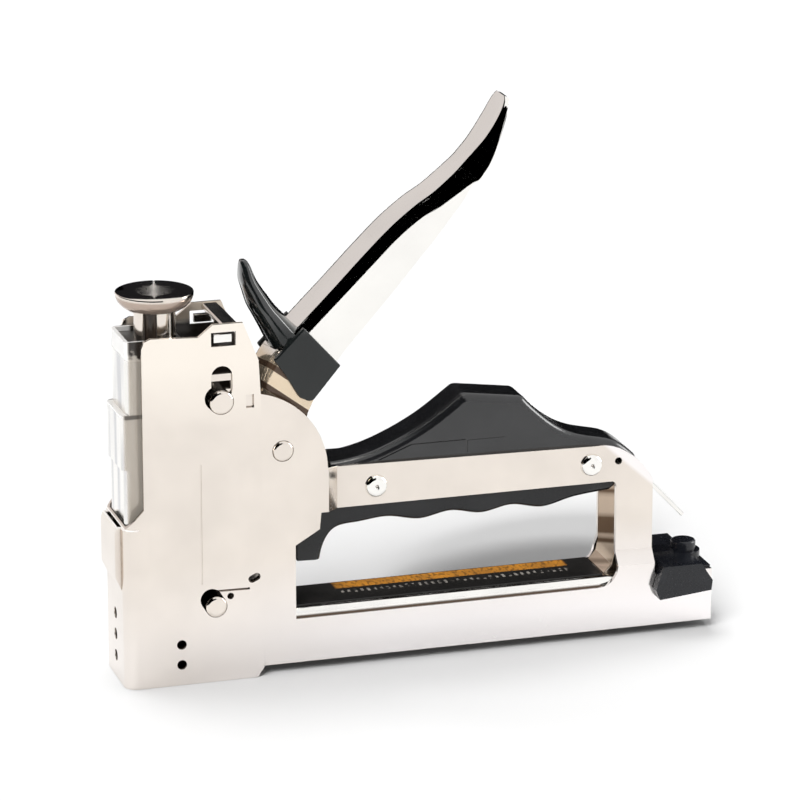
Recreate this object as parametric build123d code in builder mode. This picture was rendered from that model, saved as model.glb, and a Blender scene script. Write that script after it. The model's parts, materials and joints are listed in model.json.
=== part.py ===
"""Compression stapler: a hand-squeezed staple gun made of separate, jointed pieces, in millimetres.

Frame: +X runs from the nose to the rear, +Z is up and the near side faces -Y. The origin lies under
the middle of the whole length, on the plane that the nose stands on. Points are given as distance
behind the nose front and height above that plane.
"""
import math
import os

from build123d import *

# Whole object
LENGTH = 201.6
BULGE = 2.0
NOSE_X = BULGE - LENGTH / 2
REAR = LENGTH - BULGE

# Fits
RUN = 0.05
SLIDE = 0.3
PLAY = 0.2

# Sheet metal of the head, rail and magazine
HEAD_W = 28.0
WING_T = 1.2
PLATE_T = 1.5
JOG = 3.3
NOSE_BEND = 4.0
WING_OUT = HEAD_W / 2
WING_IN = WING_OUT - WING_T
PLATE_IN = WING_IN - PLATE_T
RAIL_OUT = WING_IN - JOG
RAIL_IN = RAIL_OUT - PLATE_T
HEAD_TOP = 119.2
WING_FRONT = 6.6
WING_REAR = 45.6
NOSE_TOP = 53.5
NOSE_HOLES = (7.4, 14.7, 21.9)
NOSE_HOLE_R = 1.9
GUIDE_HALF = 9.5
LENS_R = 2.3
STEP = 3.2
GROOVE = 0.12

# Side plates
PLATE_FRONT = 22.5
PLATE_REAR = REAR
TAIL_TOP = 20.9
JOG_X = 67.8
JOG_RUN = 3.8
JOG_Z = 24.8
JOG_RISE = 4.4
RAIL_LOW = 53.3
OPEN_LEFT = 56.7
OPEN_LOW = 18.0
OPEN_ROUND = 7.0
OPEN_CORNER = 1.6
TAIL_RUN = 20.1
POST_W = 12.8
RAIL_RUN = 98.9
STRAP_T = 1.3
POST_REAR = PLATE_REAR - TAIL_RUN
POST_X = POST_REAR - POST_W

# Pins
PIVOT = (52.7, 75.2)
PIVOT_R = 3.5
UPPER = (32.4, 93.5)
UPPER_R = 4.0
LOWER = (29.9, 25.4)
LOWER_R = 3.6
PIN_PROUD = 0.7
PIN_ROUND = 1.2

# Front channel, power adjuster and main spring
CHANNEL_HALF = 10.0
CHANNEL_T = 1.2
CHANNEL_BEND = 2.0
CHANNEL_TOP = 114.5
CHANNEL_REAR = 22.0
CHANNEL_LOW = NOSE_TOP + 0.5
CHANNEL_FOLDS = (72.5, 90.5)
CHANNEL_FRONTS = (1.4, 0.6, 2.4)
CHANNEL_IN = CHANNEL_HALF - CHANNEL_T
AXIS_X = 14.5
KNOB_R = 12.5
KNOB_LOW = 124.0
KNOB_H = 4.0
SCREW_R = 6.7
SPIGOT_R = 4.0
SPIGOT_H = 2.5
BRIDGE_LOW = 109.0
BRIDGE_T = 4.0
SEAT_TOP = 107.0
SEAT_T = 2.5
SEAT_R = 8.2
PILOT_R = 4.6
MAIN_WIRE = 2.2
MAIN_R = 6.4
MAIN_TURNS = 4.5

# Striker and its lift
ARM_R = 33.4
ARM_DROP = 16.0
ROLLER_R = 3.5
ROLLER_W = 3.8
FORK_TIP = 2.4
ARM_HALF = 3.0
ROLLER_PIN_R = 1.2
STRIKER_LOW = 50.0
STRIKER_TOP = 73.0
STRIKER_REAR = 24.0
BLADE_X = 4.0
BLADE_T = 1.2
BLADE_HALF = 6.2
BLADE_LOW = 0.6
BLADE_PIN_R = 1.5
BLADE_PIN_Z = 56.0
BUMPER_T = 4.0
BAR_T = 4.0
ROLLER_X = PIVOT[0] - ARM_R * math.cos(math.radians(ARM_DROP))
ROLLER_Z = PIVOT[1] - ARM_R * math.sin(math.radians(ARM_DROP))

# Handle and guard
HANDLE_HALF = 9.0
HANDLE_T = 1.8
HANDLE_BEND = 3.0
HANDLE_IN = HANDLE_HALF - HANDLE_T
TIP = (130.2, 184.0)
TIP_TURN = 61.0
TIP_ROUND = 6.0
BOSS_R = 8.0
BUSH_R = 5.0
GUARD_HALF = 10.9
TONGUE_HALF = 9.5
TONGUE_Z = 112.0
TONGUE_TIP_HALF = 4.2
TONGUE_TIP_Z = 136.4
GUARD_PIN = (60.0, 96.0)
GUARD_PIN_R = 2.0

# Grips
PART_Z = 57.0
PALM_LOW = 62.0
GRIP_ROUND = 2.8
FINGER_ROUND = 2.4
WAVE = 0.85
WAVE_LEN = 20.6
WAVE_START = 90.3
WAVE_MEAN = 46.7
RIVETS = ((84.6, 59.6), (POST_X - 8.7, 59.7))
RIVET_R = 2.4
RIVET_HEAD_R = 3.8
RIVET_HEAD_H = 1.6

# Magazine
COVER_T = 1.4
COVER_TOP = 21.1
COVER_BEND = 2.2
COVER_LOW = 4.2
COVER_FRONT = 24.0
PLUG_L = 5.0
COVER_IN = PLATE_IN - COVER_T
STRIP_T = 0.4
STRIP_HALF = 8.8
STAPLE_HALF = 6.7
SHOE_T = 2.6
CORE_HALF = 5.0
CORE_T = 1.2
CORE_TOP = 16.2
CORE_LOW = 4.6
CORE_FRONT = 5.8
PULL_L = 13.6
CORE_REAR = PLATE_REAR - PULL_L
CORE_IN = CORE_HALF - CORE_T
SLOT_HALF = 1.3
ROD_R = 1.5
ROD_Z = 10.0
NOSE_BLOCK = 6.0
TAIL_L = 10.0
TAIL_FRONT = CORE_REAR - TAIL_L
FOLLOW_X = 13.0
FOLLOW_L = 20.0
FOLLOW_T = 3.0
SLIDER_L = 7.0
PUSH_WIRE = 0.8
PUSH_R = 2.6
PUSH_TURNS = 36

# Pull handle and latch
WING_TAB_OUT = 16.5
PLUG_FRONT = CORE_REAR - PLUG_L
COVER_REAR = PLUG_FRONT - SLIDE
DECK_LOW = 21.6
DECK_TOP = 24.2
RIDGE_HALF = 3.6
RIDGE_TOP = 25.1
LATCH_R = 4.2
LATCH_BOSS = LATCH_R + SLIDE + 1.1
LATCH_X = PLATE_REAR - LATCH_BOSS
LATCH_LOW = 17.6
LATCH_TOP = 27.6
LATCH_TRAVEL = 2.5
LATCH_WELL = 12.0
LATCH_PIN_R = 1.0
LATCH_PIN_Z = 19.8
LATCH_WIRE = 0.6
LATCH_SPRING_R = 2.6
LATCH_TURNS = 3


def at(x, z):
    """A point of the side view, from its distance behind the nose front and its height."""
    return (NOSE_X + x, z)


def spread(x):
    """A distance on the rail, drawn out with the rail's length."""
    return JOG_X + (x - JOG_X) * (POST_X - JOG_X) / RAIL_RUN


def slab(points, y_low, y_high, mode=Mode.ADD):
    """A straight-sided side-view outline, carried from one width to another."""
    with BuildSketch(Plane.XZ.offset(-y_high)) as outline:
        with BuildLine():
            Polyline(*[at(x, z) for x, z in points], close=True)
        make_face()
    extrude(outline.sketch, amount=y_high - y_low, mode=mode)


def peg(x, z, radius, y_low, y_high, mode=Mode.ADD):
    """A round bar across the object."""
    with BuildSketch(Plane.XZ.offset(-y_high)) as disc:
        with Locations(at(x, z)):
            Circle(radius)
    extrude(disc.sketch, amount=y_high - y_low, mode=mode)


def block(x_low, x_high, y_low, y_high, z_low, z_high, mode=Mode.ADD):
    """A square-edged block between two distances, two widths and two heights."""
    with Locations((NOSE_X + (x_low + x_high) / 2, (y_low + y_high) / 2, (z_low + z_high) / 2)):
        Box(x_high - x_low, y_high - y_low, z_high - z_low, mode=mode)


def column(x, radius, z_low, z_high, mode=Mode.ADD, top_radius=None):
    """An upright round bar on the middle plane, straight or tapered."""
    with Locations((NOSE_X + x, 0, (z_low + z_high) / 2)):
        if top_radius is None:
            Cylinder(radius, z_high - z_low, mode=mode)
        else:
            Cone(radius, top_radius, z_high - z_low, mode=mode)


def rod(z, radius, x_low, x_high, mode=Mode.ADD):
    """A round bar along the object on the middle plane."""
    with Locations(Location((NOSE_X + (x_low + x_high) / 2, 0, z), (0, 90, 0))):
        Cylinder(radius, x_high - x_low, mode=mode)


def oblong(start, end, radius, y_low, y_high, mode=Mode.SUBTRACT):
    """A round-ended slot across the object, between two centres."""
    middle = ((start[0] + end[0]) / 2, (start[1] + end[1]) / 2)
    span = math.hypot(end[0] - start[0], end[1] - start[1])
    turn = math.degrees(math.atan2(end[1] - start[1], end[0] - start[0]))
    with BuildSketch(Plane.XZ.offset(-y_high)) as hole:
        with Locations(Location((*at(*middle), 0), (0, 0, turn))):
            SlotCenterToCenter(span, 2 * radius)
    extrude(hole.sketch, amount=y_high - y_low, mode=mode)


def head_holes(y_low, y_high):
    """The slots of the two head pins, with room beside each pin, and two small holes by the lower one."""
    oblong(UPPER, (UPPER[0] - 1.5, UPPER[1] + 1.5), UPPER_R, y_low, y_high)
    oblong(LOWER, (LOWER[0] - 1.6, LOWER[1] + 2.6), LOWER_R, y_low, y_high)
    peg(34.6, 28.6, 1.1, y_low, y_high, Mode.SUBTRACT)
    oblong((41.8, 33.6), (43.3, 34.3), 1.25, y_low, y_high)


def lens(side, radius, z_low, z_high, mode=Mode.ADD):
    """A spindle along the nose corner, half sunk in the wing."""
    middle = (z_low + z_high) / 2
    with BuildSketch(Plane.XZ.offset(-side * WING_IN)) as half:
        with BuildLine():
            ThreePointArc(at(WING_FRONT, z_low), at(WING_FRONT + radius, middle), at(WING_FRONT, z_high))
            Line(at(WING_FRONT, z_high), at(WING_FRONT, z_low))
        make_face()
    revolve(half.sketch, axis=Axis((NOSE_X + WING_FRONT, side * WING_IN, 0), (0, 0, 1)), mode=mode)


def coil_wire(origin, along, across, radius, length, turns, lead):
    """The middle line of a spring: quarter turns of two smooth arcs each, and straight ends."""
    third = along.cross(across)
    steps = round(turns * 4)
    rise = length / (2 * math.pi * turns)

    def spot(angle):
        return (origin + along * (rise * angle) + across * (radius * math.cos(angle))
                + third * (radius * math.sin(angle)))

    def heading(angle):
        way = along * rise - across * (radius * math.sin(angle)) + third * (radius * math.cos(angle))
        return way.normalized()

    edges = [Edge.make_line(spot(0) - heading(0) * lead, spot(0))]
    for step in range(steps):
        first, last = step * math.pi / 2, (step + 1) * math.pi / 2
        start, end = spot(first), spot(last)
        out, into = heading(first), heading(last)
        chord, both = end - start, out + into
        spare = 2 * (1 - out.dot(into))
        reach = (math.sqrt(chord.dot(both) ** 2 + spare * chord.dot(chord)) - chord.dot(both)) / spare
        knot = (start + end + (out - into) * reach) * 0.5
        turn = ((end - into * reach) - (start + out * reach)).normalized()
        edges.append(Edge.make_tangent_arc(start, out, knot))
        edges.append(Edge.make_tangent_arc(knot, turn, end))
    final = steps * math.pi / 2
    edges.append(Edge.make_line(spot(final), spot(final) + heading(final) * lead))
    return Wire(edges)


def coil_gap(name, radius, length, turns, wire):
    """Print the least gap between neighbouring turns, measured on points of the middle line."""
    count = 24
    rise = length / turns
    points = [(radius * math.cos(2 * math.pi * k / count), radius * math.sin(2 * math.pi * k / count),
               rise * k / count) for k in range(int(turns * count) + 1)]
    gaps = [math.dist(points[i], points[j]) for i in range(len(points))
            for j in range(i + count // 2, min(len(points), i + 2 * count))]
    print(f"{name}: least gap between turns {min(gaps) - wire:.2f} mm")


# The nose housing: a U of sheet with a wing on each side
WING_OUTLINE = [(-5, 0), (WING_REAR - 2.2, 0), (WING_REAR, STEP), (WING_REAR - 0.4, 95),
                (WING_REAR - 1, 106.5), (39.6, HEAD_TOP), (29.8, HEAD_TOP), (25, 115.4), (9.6, 116.2),
                (7.4, 115.2), (WING_FRONT, 113), (WING_FRONT, 60), (0.5, NOSE_TOP), (-5, NOSE_TOP)]
with BuildPart() as nose_housing:
    with BuildSketch():
        with Locations((NOSE_X + WING_REAR / 2, 0)):
            Rectangle(WING_REAR, HEAD_W)
        fillet(vertices().group_by(Axis.X)[0], NOSE_BEND)
    extrude(amount=HEAD_TOP)
    slab([(0, 32.5), (-BULGE, 37), (-BULGE, 51.5), (-BULGE + 0.8, NOSE_TOP), (2, NOSE_TOP)],
         -GUIDE_HALF, GUIDE_HALF)
    for flank in (-1, 1):
        lens(flank, LENS_R, 35, 55)
    with BuildSketch():
        with Locations((NOSE_X + WING_T + WING_REAR / 2, 0)):
            Rectangle(WING_REAR, 2 * WING_IN)
        fillet(vertices().group_by(Axis.X)[0], NOSE_BEND - WING_T)
    extrude(amount=HEAD_TOP, mode=Mode.SUBTRACT)
    slab([(WING_T, 33), (WING_T - BULGE, 37.4), (WING_T - BULGE, NOSE_TOP), (WING_T + 1, NOSE_TOP)],
         -GUIDE_HALF + WING_T, GUIDE_HALF - WING_T, Mode.SUBTRACT)
    for flank in (-1, 1):
        lens(flank, LENS_R - WING_T, 36, 54, Mode.SUBTRACT)
    slab(WING_OUTLINE, -2 * WING_OUT, 2 * WING_OUT, Mode.INTERSECT)
    slab([(29.2, 112), (37.2, 112), (37.2, 116.6), (29.2, 116.6)], -WING_OUT, WING_OUT, Mode.SUBTRACT)
    oblong((32.6, 98), (32.6, 102), 3.5, -WING_OUT, WING_OUT)
    head_holes(-WING_OUT, WING_OUT)
    slab([(40.4, 91), (43, 91), (43, 95.4), (40.4, 95.4)], -WING_OUT, WING_OUT, Mode.SUBTRACT)
    slab([(29, 30.4), (41, 30.2), (41, 30.9), (29, 31.1)], -WING_OUT, WING_OUT, Mode.SUBTRACT)
    for low in (6.9, 13.7):
        peg(18.3, low, 1.6, -WING_OUT, WING_OUT, Mode.SUBTRACT)
    for low in NOSE_HOLES:
        rod(low, NOSE_HOLE_R, -1, 2 * WING_T, Mode.SUBTRACT)
    for flank in (-1, 1):
        block(25, 25.5, flank * WING_OUT - GROOVE, flank * WING_OUT + GROOVE, 33.5, 73.5, Mode.SUBTRACT)
nose_housing.part.label = "nose_housing"

# One side plate: head, rail, post and magazine side, stepped inward at the rail and post
BEND_X = PLATE_T * math.tan(math.atan2(JOG, JOG_RUN) / 2)
BEND_Z = PLATE_T * math.tan(math.atan2(JOG, JOG_RISE) / 2)
BOX_END = REAR + 10
with BuildPart() as side_plate_near:
    with BuildSketch():
        with BuildLine():
            Polyline(at(PLATE_FRONT - 2, 0), at(PLATE_FRONT - 2, -WING_IN), at(JOG_X, -WING_IN),
                     at(JOG_X + JOG_RUN, -RAIL_OUT), at(BOX_END, -RAIL_OUT), at(BOX_END, 0), close=True)
        make_face()
    extrude(amount=HEAD_TOP)
    with BuildSketch(Plane.YZ.offset(NOSE_X + PLATE_FRONT - 2)):
        with BuildLine():
            Polyline((0, 0), (-WING_IN, 0), (-WING_IN, JOG_Z), (-RAIL_OUT, JOG_Z + JOG_RISE),
                     (0, JOG_Z + JOG_RISE), close=True)
        make_face()
    extrude(amount=BOX_END - PLATE_FRONT)
    with BuildSketch():
        with BuildLine():
            Polyline(at(PLATE_FRONT - 3, 1), at(PLATE_FRONT - 3, -PLATE_IN), at(JOG_X - BEND_X, -PLATE_IN),
                     at(JOG_X + JOG_RUN - BEND_X, -RAIL_IN), at(BOX_END + 1, -RAIL_IN), at(BOX_END + 1, 1),
                     close=True)
        make_face()
    extrude(amount=HEAD_TOP, mode=Mode.SUBTRACT)
    with BuildSketch(Plane.YZ.offset(NOSE_X + PLATE_FRONT - 3)):
        with BuildLine():
            Polyline((1, -1), (-PLATE_IN, -1), (-PLATE_IN, JOG_Z - BEND_Z),
                     (-RAIL_IN, JOG_Z + JOG_RISE - BEND_Z), (1, JOG_Z + JOG_RISE - BEND_Z), close=True)
        make_face()
    extrude(amount=BOX_END - PLATE_FRONT + 4, mode=Mode.SUBTRACT)
    with BuildSketch(Plane.XZ):
        with BuildLine():
            Polyline(at(UPPER[0] + 11.2, 94.9), at(UPPER[0] + 11.2, 102.6), at(PLATE_FRONT, 102.6),
                     at(PLATE_FRONT, STEP), at(PLATE_REAR, STEP), at(PLATE_REAR, TAIL_TOP),
                     at(POST_REAR, TAIL_TOP), at(POST_REAR, 52.6))
            Spline(at(POST_REAR, 52.6), at(POST_REAR - 4.1, 58.8), at(POST_REAR - 8.5, 62.6),
                   at(POST_REAR - 13.5, 65.2), at(POST_REAR - 19.5, 65.9))
            Polyline(at(POST_REAR - 19.5, 65.9), at(72.5, 67.3), at(67.6, 68.2))
            ThreePointArc(at(67.6, 68.2), at(60.1, 86.6), at(45.3, 94.9))
            Line(at(45.3, 94.9), at(UPPER[0] + 11.2, 94.9))
        make_face()
        with BuildLine():
            Polyline(at(POST_X, OPEN_LOW + OPEN_ROUND), at(POST_X, RAIL_LOW - OPEN_CORNER))
            RadiusArc(at(POST_X, RAIL_LOW - OPEN_CORNER), at(POST_X - OPEN_CORNER, RAIL_LOW), -OPEN_CORNER)
            Polyline(at(POST_X - OPEN_CORNER, RAIL_LOW), at(65.3, RAIL_LOW), at(64.8, 47.8),
                     at(OPEN_LEFT, 43), at(OPEN_LEFT, OPEN_LOW), at(POST_X - OPEN_ROUND, OPEN_LOW))
            RadiusArc(at(POST_X - OPEN_ROUND, OPEN_LOW), at(POST_X, OPEN_LOW + OPEN_ROUND), -OPEN_ROUND)
        make_face(mode=Mode.SUBTRACT)
    extrude(amount=2 * HEAD_W, both=True, mode=Mode.INTERSECT)
    peg(*PIVOT, PIVOT_R, -WING_OUT, 0, Mode.SUBTRACT)
    head_holes(-WING_OUT, 0)
    slab([(29.4, 97.6), (35.8, 97.6), (35.8, 100.3), (29.4, 100.3)], -WING_OUT, 0, Mode.SUBTRACT)
    peg(POST_X + 0.7, 60.2, 1.2, -WING_OUT, 0, Mode.SUBTRACT)
    for place in RIVETS:
        peg(*place, RIVET_R, -WING_OUT, 0, Mode.SUBTRACT)
side_plate_near.part.label = "side_plate_near"

with BuildPart() as side_plate_far:
    add(mirror(side_plate_near.part, about=Plane.XZ))
side_plate_far.part.label = "side_plate_far"

# The front channel: three stepped lengths of one folded front, with flanges out to the wings
with BuildPart() as front_channel:
    levels = (CHANNEL_LOW, *CHANNEL_FOLDS, CHANNEL_TOP)
    for front, low, high in zip(CHANNEL_FRONTS, levels, levels[1:]):
        with BuildSketch(Plane.XY.offset(low)):
            with Locations((NOSE_X + (front + CHANNEL_REAR) / 2, 0)):
                Rectangle(CHANNEL_REAR - front, 2 * CHANNEL_HALF)
            fillet(vertices().group_by(Axis.X)[0], CHANNEL_BEND)
        extrude(amount=high - low)
    hollows = (CHANNEL_LOW, CHANNEL_FOLDS[0] + CHANNEL_T, CHANNEL_FOLDS[1] - CHANNEL_T, CHANNEL_TOP)
    for front, low, high in zip(CHANNEL_FRONTS, hollows, hollows[1:]):
        block(front + CHANNEL_T, CHANNEL_REAR, -CHANNEL_IN, CHANNEL_IN, low, high, Mode.SUBTRACT)
    for flank in (-1, 1):
        block(CHANNEL_REAR - 1.4, CHANNEL_REAR, min(flank * CHANNEL_IN, flank * WING_IN),
              max(flank * CHANNEL_IN, flank * WING_IN), CHANNEL_LOW, CHANNEL_TOP)
front_channel.part.label = "front_channel"

with BuildPart() as top_bar:
    block(33, 38.4, -WING_IN, WING_IN, 116.9, 119)
    fillet(edges().filter_by(Axis.Y), 0.8)
top_bar.part.label = "top_bar"

with BuildPart() as upper_pin:
    peg(*UPPER, UPPER_R, -WING_OUT - PIN_PROUD, WING_OUT + PIN_PROUD)
    fillet(edges().filter_by(GeomType.CIRCLE), PIN_ROUND)
upper_pin.part.label = "upper_pin"

with BuildPart() as lower_pin:
    peg(*LOWER, LOWER_R, -WING_OUT - PIN_PROUD, WING_OUT + PIN_PROUD)
    fillet(edges().filter_by(GeomType.CIRCLE), PIN_ROUND)
lower_pin.part.label = "lower_pin"

with BuildPart() as pivot_pin:
    peg(*PIVOT, PIVOT_R, -WING_IN - PIN_PROUD, WING_IN + PIN_PROUD)
    fillet(edges().filter_by(GeomType.CIRCLE), PIN_ROUND)
pivot_pin.part.label = "pivot_pin"

# The power adjuster: bridge, screw, knob and spring seat on one upright axis
with BuildPart() as adjuster_bridge:
    block(CHANNEL_FRONTS[-1] + CHANNEL_T, CHANNEL_REAR, -CHANNEL_IN, CHANNEL_IN, BRIDGE_LOW,
          BRIDGE_LOW + BRIDGE_T)
    column(AXIS_X, SCREW_R + RUN, BRIDGE_LOW - 1, BRIDGE_LOW + BRIDGE_T + 1, Mode.SUBTRACT)
adjuster_bridge.part.label = "adjuster_bridge"

with BuildPart() as adjuster_screw:
    column(AXIS_X, SCREW_R, SEAT_TOP + RUN, KNOB_LOW)
    column(AXIS_X, SPIGOT_R, KNOB_LOW, KNOB_LOW + SPIGOT_H)
adjuster_screw.part.label = "adjuster_screw"

with BuildPart() as power_knob:
    column(AXIS_X, KNOB_R - 1.6, KNOB_LOW, KNOB_LOW + KNOB_H / 2, top_radius=KNOB_R)
    column(AXIS_X, KNOB_R, KNOB_LOW + KNOB_H / 2, KNOB_LOW + KNOB_H)
    chamfer(faces().sort_by(Axis.Z)[-1].edges(), 0.4)
    column(AXIS_X, SPIGOT_R, KNOB_LOW, KNOB_LOW + SPIGOT_H, Mode.SUBTRACT)
power_knob.part.label = "power_knob"

with BuildPart() as spring_seat:
    column(AXIS_X, SEAT_R, SEAT_TOP - SEAT_T, SEAT_TOP)
    column(AXIS_X, PILOT_R, SEAT_TOP - SEAT_T - 2, SEAT_TOP - SEAT_T)
spring_seat.part.label = "spring_seat"

SPRING_LOW = STRIKER_TOP + MAIN_WIRE
SPRING_LEN = SEAT_TOP - SEAT_T - MAIN_WIRE - SPRING_LOW
main_path = coil_wire(Vector(NOSE_X + AXIS_X, 0, SPRING_LOW), Vector(0, 0, 1), Vector(1, 0, 0), MAIN_R,
                      SPRING_LEN, MAIN_TURNS, MAIN_WIRE)
coil_gap("main spring", MAIN_R, SPRING_LEN, MAIN_TURNS, MAIN_WIRE)
with BuildPart() as main_spring:
    with BuildSketch(Plane(origin=main_path @ 0, z_dir=main_path % 0)):
        Circle(MAIN_WIRE / 2)
    sweep(path=main_path)
main_spring.part.label = "main_spring"

# The striker with its blade, stopped by a bumper on a cross bar
with BuildPart() as striker:
    block(BLADE_X + BLADE_T, STRIKER_REAR, -CHANNEL_IN + SLIDE, CHANNEL_IN - SLIDE, STRIKER_LOW,
          STRIKER_TOP)
    block(ROLLER_X - ROLLER_R - 1.8, STRIKER_REAR, -ARM_HALF - SLIDE, ARM_HALF + SLIDE,
          ROLLER_Z - ROLLER_R - SLIDE, ROLLER_Z + ROLLER_R + SLIDE, Mode.SUBTRACT)
    rod(BLADE_PIN_Z, BLADE_PIN_R, BLADE_X, BLADE_X + 8, Mode.SUBTRACT)
striker.part.label = "striker"

with BuildPart() as driver_blade:
    block(BLADE_X, BLADE_X + BLADE_T, -BLADE_HALF, BLADE_HALF, BLADE_LOW, STRIKER_TOP - 2)
    rod(BLADE_PIN_Z, BLADE_PIN_R, BLADE_X, BLADE_X + 8, Mode.SUBTRACT)
driver_blade.part.label = "driver_blade"

with BuildPart() as blade_pin:
    rod(BLADE_PIN_Z, BLADE_PIN_R, BLADE_X, BLADE_X + 8)
blade_pin.part.label = "blade_pin"

with BuildPart() as bumper:
    block(8, CHANNEL_REAR, -8, 8, STRIKER_LOW - SLIDE - BUMPER_T, STRIKER_LOW - SLIDE)
    fillet(edges().filter_by(Axis.Z), 2)
bumper.part.label = "bumper"

BAR_TOP = STRIKER_LOW - SLIDE - BUMPER_T
with BuildPart() as bumper_bar:
    block(10, 20, -WING_IN, WING_IN, BAR_TOP - BAR_T, BAR_TOP)
bumper_bar.part.label = "bumper_bar"

# The nose: a guide in front of the blade and a shoe under the head
with BuildPart() as nose_guide:
    block(WING_T, BLADE_X - PLAY, -GUIDE_HALF, GUIDE_HALF, 0, 32)
    for low in NOSE_HOLES:
        rod(low, NOSE_HOLE_R, 0, BLADE_X, Mode.SUBTRACT)
nose_guide.part.label = "nose_guide"

with BuildPart() as nose_shoe:
    block(8, WING_REAR - 3, -WING_IN, WING_IN, 0, SHOE_T)
    fillet(edges().filter_by(Axis.Y).group_by(Axis.Z)[0], 0.8)
nose_shoe.part.label = "nose_shoe"

# The handle: a folded channel with its back upward, open below
HANDLE_BACK = [(45.6, 82), (46.2, 92), (48.8, 101.5), (54, 108.6), (60.6, 114.8), (68.1, 122),
               (81.5, 134.3), (92, 144.6), (98, 149), (107, 154.7), (112.2, 158.8), (118.2, 165.4),
               (124.2, 173.8), (128.9, 182), (133.2, 190.2)]
HANDLE_EDGE = [(135.2, 190.2), (130.8, 182), (127.8, 175.6), (125.6, 169.3), (122.8, 163), (119.4, 158.2),
               (117.4, 156.6), (109.4, 147.2), (102.8, 138.2), (96.1, 130.3), (86.2, 118.6), (79.5, 111.6),
               (72.8, 103.7), (66.5, 95.5), (62, 86), (60.4, 77)]


def inward(points, depth):
    """A curve's points moved to its right by a depth."""
    moved = []
    for index, point in enumerate(points):
        before = points[max(index - 1, 0)]
        after = points[min(index + 1, len(points) - 1)]
        run, rise = after[0] - before[0], after[1] - before[1]
        long = math.hypot(run, rise)
        moved.append((point[0] + depth * rise / long, point[1] - depth * run / long))
    return moved


def handle_outline():
    """The handle's side view, from the boss round the pivot to past the tip."""
    with BuildSketch(Plane.XZ) as side:
        with BuildLine():
            Spline(*[at(*point) for point in HANDLE_BACK])
            Polyline(at(*HANDLE_BACK[-1]), *[at(*point) for point in HANDLE_EDGE], at(*HANDLE_BACK[0]))
        make_face()
        with Locations(at(*PIVOT)):
            Circle(BOSS_R)
    return side.sketch


def curved(edge):
    """Whether an edge follows a free curve."""
    return edge.geom_type == GeomType.BSPLINE


def rounded(side, half, radius, chosen):
    """A side view carried to both widths, with the chosen edges of its two sides rounded."""
    extrude(side, amount=half, both=True)
    fillet(edges().filter_by(lambda edge: abs(edge.center().Y) > half / 2 and chosen(edge)), radius)


with BuildPart() as handle_lever:
    with BuildSketch(Plane.XZ, mode=Mode.PRIVATE) as handle_side:
        with BuildLine():
            Spline(*[at(*point) for point in HANDLE_BACK])
            Polyline(at(*HANDLE_BACK[-1]), at(150, 190.2), at(150, 120), at(80, 60), at(45.6, 60),
                     at(*HANDLE_BACK[0]))
        make_face()
    rounded(handle_side.sketch, HANDLE_HALF, HANDLE_BEND, curved)
    extrude(handle_outline(), amount=2 * HANDLE_HALF, both=True, mode=Mode.INTERSECT)
    INNER_BACK = inward(HANDLE_BACK, HANDLE_T)
    with BuildSketch(Plane.XZ):
        with BuildLine():
            Spline(*[at(*point) for point in INNER_BACK[1:]])
            Polyline(at(*INNER_BACK[-1]), at(150, 185), at(150, 140), at(70, 60), at(40, 60), at(40, 90),
                     at(*INNER_BACK[1]))
        make_face()
    extrude(amount=HANDLE_IN, both=True, mode=Mode.SUBTRACT)
    tip_way = Vector(math.cos(math.radians(TIP_TURN)), 0, math.sin(math.radians(TIP_TURN)))
    tip_up = tip_way.cross(Vector(0, 1, 0))
    tip_plane = Plane(origin=(NOSE_X + TIP[0], 0, TIP[1]), x_dir=tip_way, z_dir=tip_up)
    with BuildSketch(tip_plane):
        with Locations((-LENGTH / 2, 0)):
            Rectangle(LENGTH, 2 * HANDLE_HALF)
        fillet(vertices().group_by(Axis.X)[-1], TIP_ROUND)
    extrude(amount=LENGTH, both=True, mode=Mode.INTERSECT)
    peg(*PIVOT, BUSH_R, -HANDLE_HALF, HANDLE_HALF, Mode.SUBTRACT)
    peg(*GUARD_PIN, GUARD_PIN_R, -HANDLE_HALF, HANDLE_HALF, Mode.SUBTRACT)
handle_lever.part.label = "handle_lever"

SLEEVE = [(50.6, 104.8), (59.4, 115), (60.4, 114.9), (72.6, 101.3), (62.9, 89.8), (58.9, 91.8),
          (54.1, 99.9)]
with BuildPart() as hand_guard:
    with BuildSketch(Plane.XZ):
        with BuildLine():
            Spline(at(54, 103.4), at(51.6, 109.9), at(48.7, 117.2), at(46, 124.4), at(44.3, 132))
            ThreePointArc(at(44.3, 132), at(45.6, 135.6), at(47.4, 133))
            Spline(at(47.4, 133), at(48.9, 128.6), at(52.6, 122.8), at(57.4, 117), at(60.6, 113.6))
            Line(at(60.6, 113.6), at(54, 103.4))
        make_face()
    extrude(amount=TONGUE_HALF, both=True)
    with BuildSketch(Plane.YZ):
        with BuildLine():
            Polyline((-TONGUE_HALF, PIVOT[1]), (-TONGUE_HALF, TONGUE_Z), (-TONGUE_TIP_HALF, TONGUE_TIP_Z),
                     (TONGUE_TIP_HALF, TONGUE_TIP_Z), (TONGUE_HALF, TONGUE_Z), (TONGUE_HALF, PIVOT[1]),
                     close=True)
        make_face()
        fillet(vertices().group_by(Axis.Y)[-1], TONGUE_TIP_HALF * 0.8)
    extrude(amount=LENGTH, both=True, mode=Mode.INTERSECT)
    slab(SLEEVE, -GUARD_HALF, GUARD_HALF)
    fillet(edges().filter_by(Axis.Y).sort_by(Axis.Z)[0:1], 2)
    extrude(handle_outline(), amount=HANDLE_HALF, both=True, mode=Mode.SUBTRACT)
hand_guard.part.label = "hand_guard"

with BuildPart() as guard_pin:
    peg(*GUARD_PIN, GUARD_PIN_R, -HANDLE_HALF, HANDLE_HALF)
guard_pin.part.label = "guard_pin"

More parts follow.
